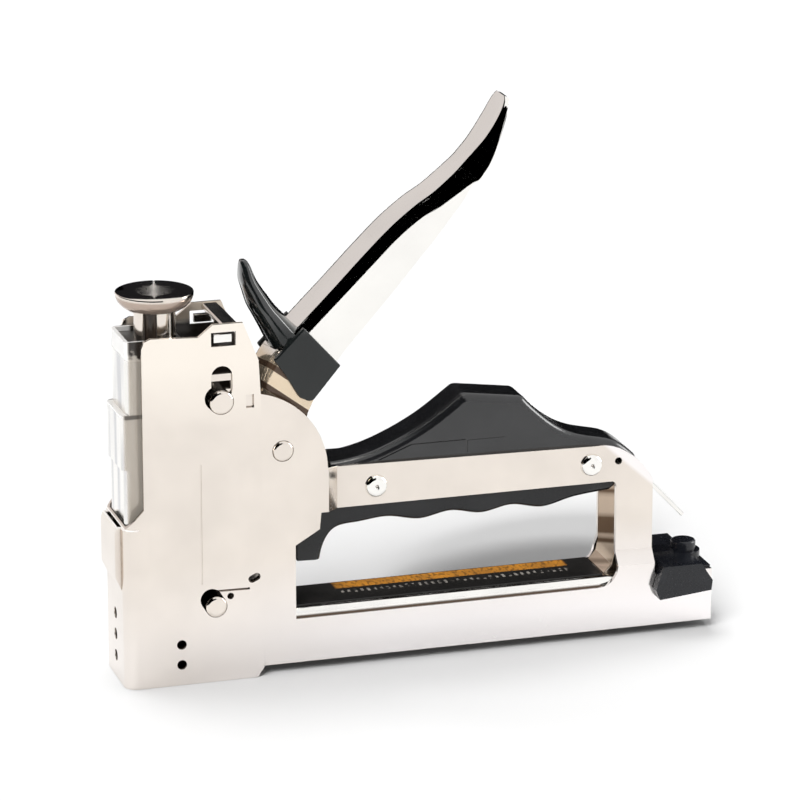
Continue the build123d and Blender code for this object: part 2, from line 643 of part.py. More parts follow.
with BuildPart() as pivot_bush:
    peg(*PIVOT, BUSH_R, -PLATE_IN + PLAY, PLATE_IN - PLAY)
    peg(*PIVOT, PIVOT_R + RUN, -PLATE_IN, PLATE_IN, Mode.SUBTRACT)
pivot_bush.part.label = "pivot_bush"

with BuildPart() as lift_arm:
    peg(*PIVOT, BOSS_R - 0.5, -ARM_HALF, ARM_HALF)
    oblong(PIVOT, (ROLLER_X, ROLLER_Z), FORK_TIP, -ARM_HALF, ARM_HALF, Mode.ADD)
    oblong(PIVOT, GUARD_PIN, 5, -ARM_HALF, ARM_HALF, Mode.ADD)
    peg(ROLLER_X, ROLLER_Z, ROLLER_R + 1, -ROLLER_W / 2 - RUN, ROLLER_W / 2 + RUN, Mode.SUBTRACT)
    peg(ROLLER_X, ROLLER_Z, ROLLER_PIN_R, -ARM_HALF, ARM_HALF, Mode.SUBTRACT)
    peg(*PIVOT, BUSH_R, -ARM_HALF, ARM_HALF, Mode.SUBTRACT)
    peg(*GUARD_PIN, GUARD_PIN_R, -ARM_HALF, ARM_HALF, Mode.SUBTRACT)
lift_arm.part.label = "lift_arm"

with BuildPart() as lift_roller:
    peg(ROLLER_X, ROLLER_Z, ROLLER_R, -ROLLER_W / 2, ROLLER_W / 2)
    peg(ROLLER_X, ROLLER_Z, ROLLER_PIN_R, -ROLLER_W / 2, ROLLER_W / 2, Mode.SUBTRACT)
lift_roller.part.label = "lift_roller"

with BuildPart() as roller_pin:
    peg(ROLLER_X, ROLLER_Z, ROLLER_PIN_R, -ARM_HALF, ARM_HALF)
roller_pin.part.label = "roller_pin"

with BuildPart() as return_spring:
    peg(*PIVOT, BOSS_R - 1, ARM_HALF + PLAY, HANDLE_IN - PLAY)
    peg(*PIVOT, BUSH_R, ARM_HALF, HANDLE_IN, Mode.SUBTRACT)
return_spring.part.label = "return_spring"

# The grips, held between the rail's plates by two rivets
PALM_CREST = ((114.8, 87.2), (135.2, 84.4))
WEDGE = [(86, 67.6), (97, 71.9), (115.3, 71.9), (115.3, 67.6)]
CLIP = [(116, 67.6), (116, 71.6), (128.5, 71.6), (128.5, 67.6)]
WEDGE_FACE = RAIL_IN + 0.5
CLIP_FACE = RAIL_IN + 0.25
PALM_RISE = 36.0
PALM_SLOPE = -8.0
PALM_FALL = -50.0
CREST_ROUND = 1.3


def toward(angle):
    """The direction of the side view at an angle above level."""
    return (math.cos(math.radians(angle)), math.sin(math.radians(angle)))


def beside(point, angle, distance):
    """A point moved in the side view along an angle."""
    way = toward(angle)
    return at(spread(point[0]) + way[0] * distance, point[1] + way[1] * distance)


with BuildPart() as palm_grip:
    with BuildSketch(Plane.XZ, mode=Mode.PRIVATE) as palm_side:
        with BuildLine():
            front = beside(PALM_CREST[0], PALM_RISE, -CREST_ROUND)
            crest = beside(PALM_CREST[0], PALM_SLOPE, CREST_ROUND)
            back = beside(PALM_CREST[1], PALM_SLOPE, -CREST_ROUND)
            fall = beside(PALM_CREST[1], PALM_FALL, CREST_ROUND)
            rise = [at(spread(x), z) for x, z in ((70.2, 67.9), (81, 69.3), (91.7, 73), (102.8, 78.7))]
            tail = [at(spread(x), z) for x, z in ((140.4, 78.9), (146.9, 73.5), (153.6, 70), (160.4, 68.2),
                                                 (167.1, 66.3), (174, 61))]
            Spline(*rise, front, tangents=(toward(2), toward(PALM_RISE)))
            TangentArc(front, crest, tangent=toward(PALM_RISE))
            Line(crest, back)
            TangentArc(back, fall, tangent=toward(PALM_SLOPE))
            Spline(fall, *tail, tangents=(toward(PALM_FALL), toward(-45)))
            Polyline(tail[-1], at(spread(174), 40), at(spread(70.2), 40), rise[0])
        make_face()
    rounded(palm_side.sketch, RAIL_IN, GRIP_ROUND, lambda edge: edge.center().Z > PALM_LOW)
    slab([(60, PART_Z), (POST_X, PART_Z), (POST_X, 62), (POST_X + 6.7, 60.2), (POST_X + 13.3, 60.2),
          (POST_X + 13.3, 100), (60, 100)], -RAIL_OUT, RAIL_OUT, Mode.INTERSECT)
    for flank in (-1, 1):
        for outline, face in ((WEDGE, WEDGE_FACE), (CLIP, CLIP_FACE)):
            slab([(spread(x), z) for x, z in outline], min(flank * RAIL_IN / 2, flank * face),
                 max(flank * RAIL_IN / 2, flank * face))
    for place in RIVETS:
        peg(*place, RIVET_R, -RAIL_OUT, RAIL_OUT, Mode.SUBTRACT)
palm_grip.part.label = "palm_grip"

WAVES = 6
with BuildPart() as finger_grip:
    wave = [at(spread(WAVE_START + WAVE_LEN * k / 2), WAVE_MEAN + WAVE * (-1) ** k) for k in range(WAVES)]
    with BuildSketch(Plane.XZ, mode=Mode.PRIVATE) as finger_side:
        with BuildLine():
            end = [at(spread(x), z) for x, z in ((150.5, 47.7), (158, 48.9), (164, 49.4), (172, 49.6))]
            Spline(at(66, 32), at(66.8, 37.5), at(68.3, 41.8), at(71, 45.2), at(78.5, 46.7), *wave, *end)
            Polyline(end[-1], at(spread(172), 80), at(50, 80), at(50, 32), at(66, 32))
        make_face()
    rounded(finger_side.sketch, RAIL_IN, FINGER_ROUND, curved)
    slab([(POST_X - 2.4, 30), (POST_X - 2.4, 49.2), (POST_X - SLIDE, 51.6), (POST_X - SLIDE, PART_Z),
          (69.5, PART_Z), (66, 52), (58.5, 45), (58.5, 36), (70, 35.6), (75, 30)],
         -RAIL_OUT, RAIL_OUT, Mode.INTERSECT)
finger_grip.part.label = "finger_grip"

DOME_R = (RIVET_HEAD_R ** 2 + RIVET_HEAD_H ** 2) / (2 * RIVET_HEAD_H)


def rivet(place):
    """One rivet through the rail, with a domed head on both sides."""
    x, z = at(*place)
    with BuildPart() as fastener:
        for flank in (-1, 1):
            with Locations((x, flank * (RAIL_OUT + RIVET_HEAD_H - DOME_R), z)):
                Sphere(DOME_R)
        with Locations((x, 0, z)):
            Box(4 * DOME_R, 2 * RAIL_OUT, 4 * DOME_R, mode=Mode.SUBTRACT)
        peg(*place, RIVET_R, -RAIL_OUT, RAIL_OUT)
    return fastener


front_rivet = rivet(RIVETS[0])
front_rivet.part.label = "front_rivet"
rear_rivet = rivet(RIVETS[1])
rear_rivet.part.label = "rear_rivet"

# The rear of the frame: a web that closes the post and a strap that runs down to the latch
with BuildPart() as rear_web:
    slab([(POST_X, PART_Z), (POST_X + PLATE_T, PART_Z), (POST_X + PLATE_T, COVER_TOP),
          (POST_X - 3.4, COVER_TOP), (POST_X - 0.8, COVER_TOP + 3), (POST_X, COVER_TOP + 7)],
         -RAIL_IN, RAIL_IN)
rear_web.part.label = "rear_web"

with BuildPart() as rear_strap:
    with BuildSketch(Plane.XZ):
        with BuildLine():
            FilletPolyline(at(POST_X + PLATE_T + 1, 57.6), at(POST_REAR - 3.5, 55.2),
                           at(POST_REAR + 12, 38.8), radius=3)
        trace(line_width=STRAP_T)
    extrude(amount=RAIL_IN, both=True)
rear_strap.part.label = "rear_strap"

# The magazine: a cover, a strip on its top and two guide rails inside
with BuildPart() as magazine_cover:
    with BuildSketch(Plane.YZ.offset(NOSE_X + COVER_FRONT)):
        with Locations((0, (COVER_LOW + COVER_TOP) / 2)):
            Rectangle(2 * PLATE_IN, COVER_TOP - COVER_LOW)
        fillet(vertices().group_by(Axis.Y)[-1], COVER_BEND)
        with Locations((0, (COVER_LOW + COVER_TOP) / 2 - COVER_T)):
            Rectangle(2 * COVER_IN, COVER_TOP - COVER_LOW, mode=Mode.SUBTRACT)
    extrude(amount=COVER_REAR - COVER_FRONT)
magazine_cover.part.label = "magazine_cover"

with BuildPart() as cover_strip:
    block(OPEN_LEFT + 0.5, POST_X - 4, -STRIP_HALF, STRIP_HALF, COVER_TOP, COVER_TOP + STRIP_T)
cover_strip.part.label = "cover_strip"

with BuildPart() as guide_rail_near:
    block(BLADE_X + BLADE_T + PLAY, COVER_REAR, -COVER_IN, -STAPLE_HALF, COVER_LOW, COVER_TOP - COVER_T)
guide_rail_near.part.label = "guide_rail_near"

with BuildPart() as guide_rail_far:
    add(mirror(guide_rail_near.part, about=Plane.XZ))
guide_rail_far.part.label = "guide_rail_far"

# The core that the staples ride on, drawn out to the rear for loading
with BuildPart() as core_rail:
    block(CORE_FRONT, CORE_REAR, -CORE_HALF, CORE_HALF, CORE_LOW, CORE_TOP)
    block(CORE_FRONT, CORE_REAR, -CORE_IN, CORE_IN, CORE_LOW, CORE_TOP - CORE_T, Mode.SUBTRACT)
    block(CORE_FRONT + NOSE_BLOCK, TAIL_FRONT, -SLOT_HALF, SLOT_HALF, CORE_LOW, CORE_TOP, Mode.SUBTRACT)
core_rail.part.label = "core_rail"

with BuildPart() as core_nose:
    block(CORE_FRONT, CORE_FRONT + NOSE_BLOCK, -CORE_IN, CORE_IN, CORE_LOW, CORE_TOP - CORE_T)
    rod(ROD_Z, ROD_R, CORE_FRONT, CORE_FRONT + NOSE_BLOCK, Mode.SUBTRACT)
core_nose.part.label = "core_nose"

with BuildPart() as core_tail:
    block(TAIL_FRONT, CORE_REAR, -CORE_IN, CORE_IN, CORE_LOW, CORE_TOP - CORE_T)
    rod(ROD_Z, ROD_R, TAIL_FRONT, CORE_REAR, Mode.SUBTRACT)
core_tail.part.label = "core_tail"

with BuildPart() as pusher_rod:
    rod(ROD_Z, ROD_R, CORE_FRONT, CORE_REAR)
pusher_rod.part.label = "pusher_rod"

SADDLE_LOW = CORE_TOP + SLIDE
SADDLE_HALF = STAPLE_HALF - SLIDE
SLIDER_TOP = CORE_TOP - CORE_T - SLIDE
with BuildPart() as follower:
    block(FOLLOW_X, FOLLOW_X + FOLLOW_L, -SADDLE_HALF, SADDLE_HALF, 6.5, SADDLE_LOW + FOLLOW_T - 0.2)
    block(FOLLOW_X, FOLLOW_X + FOLLOW_L, -CORE_HALF - SLIDE, CORE_HALF + SLIDE, 6.5, SADDLE_LOW,
          Mode.SUBTRACT)
    block(FOLLOW_X, FOLLOW_X + SLIDER_L, -SLOT_HALF + SLIDE, SLOT_HALF - SLIDE, SLIDER_TOP, SADDLE_LOW)
follower.part.label = "follower"

with BuildPart() as follower_slider:
    block(FOLLOW_X, FOLLOW_X + SLIDER_L, -CORE_IN + SLIDE, CORE_IN - SLIDE, CORE_LOW + SLIDE, SLIDER_TOP)
    rod(ROD_Z, ROD_R + RUN, FOLLOW_X, FOLLOW_X + SLIDER_L, Mode.SUBTRACT)
follower_slider.part.label = "follower_slider"

PUSH_START = FOLLOW_X + SLIDER_L + PUSH_WIRE
PUSH_LEN = TAIL_FRONT - PUSH_WIRE - PUSH_START
push_path = coil_wire(Vector(NOSE_X + PUSH_START, 0, ROD_Z), Vector(1, 0, 0), Vector(0, 1, 0), PUSH_R,
                      PUSH_LEN, PUSH_TURNS, PUSH_WIRE)
coil_gap("pusher spring", PUSH_R, PUSH_LEN, PUSH_TURNS, PUSH_WIRE)
with BuildPart() as pusher_spring:
    with BuildSketch(Plane(origin=push_path @ 0, z_dir=push_path % 0)):
        Circle(PUSH_WIRE / 2)
    sweep(path=push_path)
pusher_spring.part.label = "pusher_spring"

# The pull handle at the rear end, with a wing on each side, and the latch button on its deck
TAB = [(PLATE_REAR - x, z) for x, z in ((18.2, DECK_TOP), (5, DECK_TOP), (1, 18.1), (1.4, 14.7),
                                        (19.4, 12.9), (23, 16.2), (22.4, 18.6))]
DECK = [(PLATE_REAR - x, z) for x, z in ((18.2, DECK_LOW), (3.3, DECK_LOW), (5, DECK_TOP),
                                         (18.2, DECK_TOP))]
with BuildPart() as pull_handle:
    block(CORE_REAR, PLATE_REAR, -PLATE_IN + SLIDE, PLATE_IN - SLIDE, CORE_LOW, DECK_LOW)
    block(PLUG_FRONT, CORE_REAR, -PLATE_IN + SLIDE, PLATE_IN - SLIDE, CORE_TOP, DECK_LOW)
    slab(DECK, -WING_TAB_OUT, WING_TAB_OUT)
    column(LATCH_X, LATCH_BOSS, DECK_LOW, DECK_TOP)
    for flank in (-1, 1):
        slab(TAB, min(flank * (WING_IN + SLIDE), flank * WING_TAB_OUT),
             max(flank * (WING_IN + SLIDE), flank * WING_TAB_OUT))
    block(PLUG_FRONT, LATCH_X - LATCH_BOSS + 1, -RIDGE_HALF, RIDGE_HALF, DECK_LOW, RIDGE_TOP)
    column(LATCH_X, LATCH_R + SLIDE, LATCH_WELL, RIDGE_TOP, Mode.SUBTRACT)
    peg(LATCH_X, LATCH_PIN_Z, LATCH_PIN_R, -PLATE_IN, PLATE_IN, Mode.SUBTRACT)
pull_handle.part.label = "pull_handle"

with BuildPart() as latch_pin:
    peg(LATCH_X, LATCH_PIN_Z, LATCH_PIN_R, -PLATE_IN + SLIDE, PLATE_IN - SLIDE)
latch_pin.part.label = "latch_pin"

# The latch button is pressed down against its spring, and the pin across its slot keeps it in
with BuildPart() as latch_button:
    column(LATCH_X, LATCH_R, LATCH_LOW, LATCH_TOP)
    fillet(faces().sort_by(Axis.Z)[-1].edges(), 0.8)
    oblong((LATCH_X, LATCH_PIN_Z), (LATCH_X, LATCH_PIN_Z + LATCH_TRAVEL), LATCH_PIN_R + PLAY,
           -LATCH_R, LATCH_R)
latch_button.part.label = "latch_button"

COIL_LOW = LATCH_WELL + LATCH_WIRE
COIL_LEN = LATCH_LOW - LATCH_WELL - 2 * LATCH_WIRE
latch_path = coil_wire(Vector(NOSE_X + LATCH_X, 0, COIL_LOW), Vector(0, 0, 1), Vector(1, 0, 0),
                       LATCH_SPRING_R, COIL_LEN, LATCH_TURNS, LATCH_WIRE)
coil_gap("latch spring", LATCH_SPRING_R, COIL_LEN, LATCH_TURNS, LATCH_WIRE)
with BuildPart() as latch_spring:
    with BuildSketch(Plane(origin=latch_path @ 0, z_dir=latch_path % 0)):
        Circle(LATCH_WIRE / 2)
    sweep(path=latch_path)
latch_spring.part.label = "latch_spring"

PIECES = (nose_housing, side_plate_near, side_plate_far, front_channel, top_bar, upper_pin, lower_pin,
          pivot_pin, adjuster_bridge, adjuster_screw, power_knob, spring_seat, main_spring, striker,
          driver_blade, blade_pin, bumper, bumper_bar, nose_guide, nose_shoe, handle_lever, hand_guard,
          guard_pin, pivot_bush, lift_arm, lift_roller, roller_pin, return_spring, palm_grip, finger_grip,
          front_rivet, rear_rivet, rear_web, rear_strap, magazine_cover, cover_strip, guide_rail_near,
          guide_rail_far, core_rail, core_nose, core_tail, pusher_rod, follower, follower_slider,
          pusher_spring, pull_handle, latch_pin, latch_button, latch_spring)
os.makedirs("parts", exist_ok=True)
for piece in PIECES:
    export_step(piece.part, f"parts/{piece.part.label}.step")
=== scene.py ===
"""Dresses the compression stapler: plated sheet metal, a lever handle with a black guard, grips, knob and magazine.

Every piece is in metres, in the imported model's frame: +X from the nose to the rear, +Z up, near side at -Y.
Side-view points are given in millimetres behind the nose front and above the ground.
"""

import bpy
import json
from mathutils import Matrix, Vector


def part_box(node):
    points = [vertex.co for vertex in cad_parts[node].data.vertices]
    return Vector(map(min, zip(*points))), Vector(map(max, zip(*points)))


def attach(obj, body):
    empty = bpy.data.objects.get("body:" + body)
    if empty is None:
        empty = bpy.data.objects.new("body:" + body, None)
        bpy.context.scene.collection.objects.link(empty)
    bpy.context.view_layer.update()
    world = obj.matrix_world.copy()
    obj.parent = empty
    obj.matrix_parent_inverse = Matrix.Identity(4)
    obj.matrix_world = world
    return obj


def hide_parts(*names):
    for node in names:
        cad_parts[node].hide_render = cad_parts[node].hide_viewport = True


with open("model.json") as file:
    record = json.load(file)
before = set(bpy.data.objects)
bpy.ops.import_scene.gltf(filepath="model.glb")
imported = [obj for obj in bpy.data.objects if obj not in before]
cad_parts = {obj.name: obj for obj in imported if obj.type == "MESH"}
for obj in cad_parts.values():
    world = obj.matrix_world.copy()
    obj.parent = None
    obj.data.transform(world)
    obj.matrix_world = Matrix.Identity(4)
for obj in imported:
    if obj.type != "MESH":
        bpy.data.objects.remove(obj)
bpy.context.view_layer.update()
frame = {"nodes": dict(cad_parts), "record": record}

import json
import math

import bpy
from mathutils import Vector

bl_info = {
    "name": "Compression Stapler",
    "version": (1, 0, 0),
    "blender": (4, 5, 0),
    "location": "3D View > Sidebar > Stapler",
    "description": "Models the visible pieces of a hand-squeezed stapler around its CAD frame",
    "category": "Mesh",
}

MM = 0.001
NODES = frame["nodes"]
GUIDE_SETBACK = 1.2 * MM
NOSE_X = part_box("nose_guide")[0].x - GUIDE_SETBACK
NOSE_TOP = 53.5 * MM
FOLD_WALL = (9.5 * MM, 9.9 * MM)


def behind(x):
    """A place along the frame, in metres, from its distance behind the nose front in millimetres."""
    return NOSE_X + x * MM


def spot(x, z, y=0.0):
    """A point in the frame, in metres, from its side-view place and its width in millimetres."""
    return Vector((behind(x), y * MM, z * MM))


# Settings


class StaplerSizes(bpy.types.PropertyGroup):
    """Sizes that a user may change."""

    edge_round: bpy.props.FloatProperty(
        name="Edge Round", description="Width of the rounding on sheet metal edges",
        default=0.35 * MM, unit="LENGTH")
    moulded_round: bpy.props.FloatProperty(
        name="Moulded Round", description="Width of the rounding on moulded plastic edges",
        default=0.5 * MM, unit="LENGTH")
    handle_half: bpy.props.FloatProperty(
        name="Handle Half Width", description="Half of the handle's outer width",
        default=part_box("handle_lever")[1].y, unit="LENGTH")
    handle_sheet: bpy.props.FloatProperty(
        name="Handle Sheet", description="Thickness of the handle's sheet",
        default=1.2 * MM, unit="LENGTH")
    facet_lean: bpy.props.FloatProperty(
        name="Handle Facet Lean", description="How far the rolled facet along the handle's back leans inward",
        default=math.radians(21.0), subtype="ANGLE")
    flute_count: bpy.props.IntProperty(
        name="Stem Flutes", description="Number of upright flutes round the knob's stem", default=4)


class StaplerColours(bpy.types.PropertyGroup):
    """Colours that a user may change."""

    plating: bpy.props.FloatVectorProperty(
        name="Plating", description="Warm nickel plating", subtype="COLOR", size=4,
        default=(0.845, 0.775, 0.705, 1.0))
    bright: bpy.props.FloatVectorProperty(
        name="Bright Plating", description="Lighter, brighter plating of the handle and strap", subtype="COLOR",
        size=4, default=(0.97, 0.955, 0.92, 1.0))
    # Brown grime colour, which also paints shade into occluded corners
    grime_and_shade: bpy.props.FloatVectorProperty(
        name="Grime And Shade", description="Brown film that gathers in corners", subtype="COLOR", size=4,
        default=(0.30, 0.20, 0.13, 1.0))
    # Painted shade: the gap between the magazine cover and the side plates is painted in this colour
    seam_shade: bpy.props.FloatVectorProperty(
        name="Seam Shade", description="Brown-grey bare steel of the magazine's seam", subtype="COLOR", size=4,
        default=(0.11, 0.075, 0.05, 1.0))
    steel: bpy.props.FloatVectorProperty(
        name="Tool Steel", description="Ground steel of the inner pieces", subtype="COLOR", size=4,
        default=(0.30, 0.29, 0.28, 1.0))
    grip: bpy.props.FloatVectorProperty(
        name="Grip Plastic", description="Black moulded plastic of the grips", subtype="COLOR", size=4,
        default=(0.006, 0.0063, 0.0072, 1.0))
    guard: bpy.props.FloatVectorProperty(
        name="Guard Plastic", description="Glossier black plastic of the hand guard", subtype="COLOR", size=4,
        default=(0.006, 0.008, 0.008, 1.0))
    # Painted shade: this dark colour is painted inside the head, in the flute floors and in the folded front's
    # notch; it also darkens the top of the folded front's side walls and is the nose guide's own dark steel
    inside: bpy.props.FloatVectorProperty(
        name="Inside Shade And Oil", description="Dark oily steel inside the head", subtype="COLOR", size=4,
        default=(0.03, 0.024, 0.02, 1.0))
    # Painted reflection: the low rear of the plates is painted in this whiter colour, and so is the highlight on
    # the post's corner
    pale: bpy.props.FloatVectorProperty(
        name="Pale Reflection Plating", description="Whiter plating at the low rear", subtype="COLOR", size=4,
        default=(0.99, 0.955, 0.95, 1.0))
    # Painted reflection: the head's top is painted in this warmer, brighter colour
    crown_reflection: bpy.props.FloatVectorProperty(
        name="Crown Reflection Plating", description="Warm bright plating at the head's top", subtype="COLOR", size=4,
        default=(0.99, 0.92, 0.83, 1.0))
    # Painted shade and reflection: the folded front's side walls are painted in this tan, which also darkens its
    # corners
    fold_shade_and_reflection: bpy.props.FloatVectorProperty(
        name="Fold Shade And Reflection", description="Dull tan side walls of the folded front", subtype="COLOR", size=4,
        default=(0.46, 0.405, 0.34, 1.0))
    film: bpy.props.FloatVectorProperty(
        name="Strip Film", description="Black film of the magazine strip", subtype="COLOR", size=4,
        default=(0.016, 0.015, 0.014, 1.0))
    band: bpy.props.FloatVectorProperty(
        name="Strip Band", description="Coloured band on the magazine strip", subtype="COLOR", size=4,
        default=(0.66, 0.27, 0.03, 1.0))
    floor: bpy.props.FloatVectorProperty(
        name="Floor", description="Pale studio floor", subtype="COLOR", size=4,
        default=(0.80, 0.80, 0.80, 1.0))


class StaplerStage(bpy.types.PropertyGroup):
    """Camera and light of the studio."""

    camera_place: bpy.props.FloatVectorProperty(
        name="Camera Place", description="Where the camera stands", subtype="XYZ", unit="LENGTH",
        default=(-0.409659, -1.329324, 0.509645))
    camera_aim: bpy.props.FloatVectorProperty(
        name="Camera Aim", description="The point that the camera looks at", subtype="XYZ", unit="LENGTH",
        default=(-0.003793, -0.001797, 0.085234))
    lens: bpy.props.FloatProperty(
        name="Lens", description="Focal length in millimetres", default=202.5)
    sky: bpy.props.FloatProperty(
        name="Sky Light", description="Strength of the soft light from all around", default=0.29)
    key: bpy.props.FloatProperty(
        name="Key Light", description="Strength of the broad light from above and behind", default=1.5)
    fill: bpy.props.FloatProperty(
        name="Fill Light", description="Strength of the broad light from the front left", default=2.35)
    spread: bpy.props.FloatProperty(
        name="Light Spread", description="How wide the broad lights are, which softens the shadows",
        default=math.radians(32.0), subtype="ANGLE")
    glow: bpy.props.FloatProperty(
        name="Floor Glow", description="White of the floor that keeps free of shadow",
        subtype="FACTOR", default=0.02)


# Helpers for materials


def socket(group, name, direction, kind, default=None):
    """Add a named socket to a node group."""
    made = group.interface.new_socket(name=name, in_out=direction, socket_type=kind)
    if default is not None:
        made.default_value = default


def link(tree, source, target):
    """Join an output socket to an input socket."""
    tree.links.new(source, target)


def fill(tree, target, value):
    """Set an input to a number or colour, or join it to a socket."""
    if isinstance(value, bpy.types.NodeSocket):
        tree.links.new(value, target)
    else:
        target.default_value = value


def math_of(tree, first, second=0.0, operation="ADD", clamp=False):
    """A Math node of two sockets or numbers, by its output."""
    made = tree.nodes.new("ShaderNodeMath")
    made.operation = operation
    made.use_clamp = clamp
    fill(tree, made.inputs[0], first)
    fill(tree, made.inputs[1], second)
    return made.outputs[0]


def product(tree, first, *others):
    """Sockets or numbers multiplied."""
    for other in others:
        first = math_of(tree, first, other, "MULTIPLY")
    return first


def blend_of(tree, share, first, second, mode="MIX"):
    """A colour Mix node, by its output."""
    made = tree.nodes.new("ShaderNodeMix")
    made.data_type = "RGBA"
    made.blend_type = mode
    for place, value in ((0, share), (6, first), (7, second)):
        fill(tree, made.inputs[place], value)
    return made.outputs[2]


def span_of(tree, value, low, high, new_low=0.0, new_high=1.0):
    """A Map Range node, by its output."""
    made = tree.nodes.new("ShaderNodeMapRange")
    for place, number in ((1, low), (2, high), (3, new_low), (4, new_high)):
        made.inputs[place].default_value = number
    link(tree, value, made.inputs[0])
    return made.outputs[0]


def object_coords(tree, scale=(1.0, 1.0, 1.0), turn=(0.0, 0.0, 0.0), place=(0.0, 0.0, 0.0)):
    """Object coordinates through a Mapping node, by its output."""
    coords = tree.nodes.new("ShaderNodeTexCoord")
    mapping = tree.nodes.new("ShaderNodeMapping")
    mapping.inputs["Scale"].default_value = scale
    mapping.inputs["Rotation"].default_value = turn
    mapping.inputs["Location"].default_value = place
    link(tree, coords.outputs["Object"], mapping.inputs["Vector"])
    return mapping.outputs[0]


def axes_of(tree):
    """Object coordinates as separate X, Y and Z outputs."""
    coords = tree.nodes.new("ShaderNodeTexCoord")
    parts = tree.nodes.new("ShaderNodeSeparateXYZ")
    link(tree, coords.outputs["Object"], parts.inputs[0])
    return parts.outputs


def half_width(tree):
    """The distance from the middle plane, by its output."""
    return math_of(tree, axes_of(tree)["Y"], 0.0, "ABSOLUTE")


def within(tree, value, low, high, edge):
    """A soft mask, 1 between two limits."""
    return product(tree, span_of(tree, value, low, low + edge), span_of(tree, value, high - edge, high, 1.0, 0.0))


def noise_of(tree, vector, scale, detail=3.0):
    """A Noise texture, by its value output."""
    made = tree.nodes.new("ShaderNodeTexNoise")
    made.inputs["Detail"].default_value = detail
    fill(tree, made.inputs["Scale"], scale)
    link(tree, vector, made.inputs["Vector"])
    return made.outputs[0]


def occlusion_of(tree, distance, samples, local):
    """How open the surface is within a distance, from 0 to 1."""
    shade = tree.nodes.new("ShaderNodeAmbientOcclusion")
    shade.samples = samples
    shade.only_local = local
    shade.inputs["Distance"].default_value = distance
    return shade.outputs["AO"]


def handling_wear_and_shade():
    """Node group: slow clouds, fine grain, hairline scratches, and occlusion masks for brown corner grime that is
    also painted shade, and for painted shade in hollows.
    """
    if "Handling Wear And Shade" in bpy.data.node_groups:
        return bpy.data.node_groups["Handling Wear And Shade"]
    group = bpy.data.node_groups.new("Handling Wear And Shade", "ShaderNodeTree")
    start = group.nodes.new("NodeGroupInput")
    end = group.nodes.new("NodeGroupOutput")
    socket(group, "Cloud Scale", "INPUT", "NodeSocketFloat", 60.0)
    socket(group, "Grain Scale", "INPUT", "NodeSocketFloat", 2600.0)
    for name in ("Cloud", "Grain", "Scratch", "Corner Grime And Shade", "Hollow Shade"):
        socket(group, name, "OUTPUT", "NodeSocketFloat")
    plain = object_coords(group)
    link(group, noise_of(group, plain, start.outputs["Cloud Scale"], 4.0), end.inputs["Cloud"])
    link(group, noise_of(group, plain, start.outputs["Grain Scale"], 2.0), end.inputs["Grain"])
    scratch = 0.0
    for turn, seed in (((0.3, 0.5, 0.2), 0.0), ((-0.6, 1.1, 0.9), 7.0), ((0.9, -0.4, -0.7), 13.0)):
        stretched = object_coords(group, (1400.0, 26.0, 1400.0), turn, (seed, seed, seed))
        streak = span_of(group, noise_of(group, stretched, 1.0, 1.0), 0.70, 0.78)
        scratch = math_of(group, streak, scratch, "MAXIMUM")
    patches = span_of(group, noise_of(group, plain, 38.0, 2.0), 0.42, 0.62)
    link(group, product(group, scratch, patches), end.inputs["Scratch"])
    # Occlusion masks: close corners, where brown grime and painted shade go, and deep hollows, where painted shade
    # goes
    corner = span_of(group, occlusion_of(group, 3.5 * MM, 6, True), 0.35, 0.9, 1.0, 0.0)
    hollow_shade = span_of(group, occlusion_of(group, 24.0 * MM, 12, False), 0.12, 0.38, 1.0, 0.0)
    link(group, corner, end.inputs["Corner Grime And Shade"])
    link(group, hollow_shade, end.inputs["Hollow Shade"])
    return group


def new_material(name):
    """A material with a Principled shader, as (material, tree, shader)."""
    material = bpy.data.materials.new(name)
    material.use_nodes = True
    return material, material.node_tree, material.node_tree.nodes["Principled BSDF"]


def wear_in(tree, cloud_scale, grain_scale):
    """Place the wear group in a material and give its outputs."""
    wear = tree.nodes.new("ShaderNodeGroup")
    wear.node_tree = handling_wear_and_shade()
    wear.inputs["Cloud Scale"].default_value = cloud_scale
    wear.inputs["Grain Scale"].default_value = grain_scale
    return wear.outputs


def raise_by(tree, shader, height, distance, strength):
    """Feed a height through a Bump node into the shader's normal."""
    bump = tree.nodes.new("ShaderNodeBump")
    bump.inputs["Distance"].default_value = distance
    bump.inputs["Strength"].default_value = strength
    link(tree, height, bump.inputs["Height"])
    link(tree, bump.outputs[0], shader.inputs["Normal"])


def fold_shade_mask(tree):
    """Mask: the upright side walls of the folded front, where painted shade and reflection go."""
    streaks = noise_of(tree, object_coords(tree, (500.0, 500.0, 24.0)), 1.0, 2.0)
    return product(tree, span_of(tree, half_width(tree), *FOLD_WALL), span_of(tree, streaks, 0.3, 0.7, 0.8, 1.0))


def streak_reflection_mask(tree):
    """Mask: soft upright streaks of painted reflection."""
    streaks = noise_of(tree, object_coords(tree, (60.0, 190.0, 16.0)), 1.0, 2.0)
    return span_of(tree, streaks, 0.46, 0.66, 0.0, 0.8)


def bands_of(tree, way, scale):
    """Bands of uneven width across a direction, by their value output."""
    coords = tree.nodes.new("ShaderNodeTexCoord")
    along = tree.nodes.new("ShaderNodeVectorMath")
    along.operation = "DOT_PRODUCT"
    along.inputs[1].default_value = way
    link(tree, coords.outputs["Object"], along.inputs[0])
    bands = tree.nodes.new("ShaderNodeTexNoise")
    bands.noise_dimensions = "1D"
    bands.inputs["Scale"].default_value = scale
    link(tree, along.outputs["Value"], bands.inputs["W"])
    return bands.outputs[0]


def band_reflection_mask(tree):
    """Mask: uneven bands of painted reflection across an upright web."""
    return span_of(tree, bands_of(tree, (0.0, 0.3, 1.0), 130.0), 0.45, 0.55)


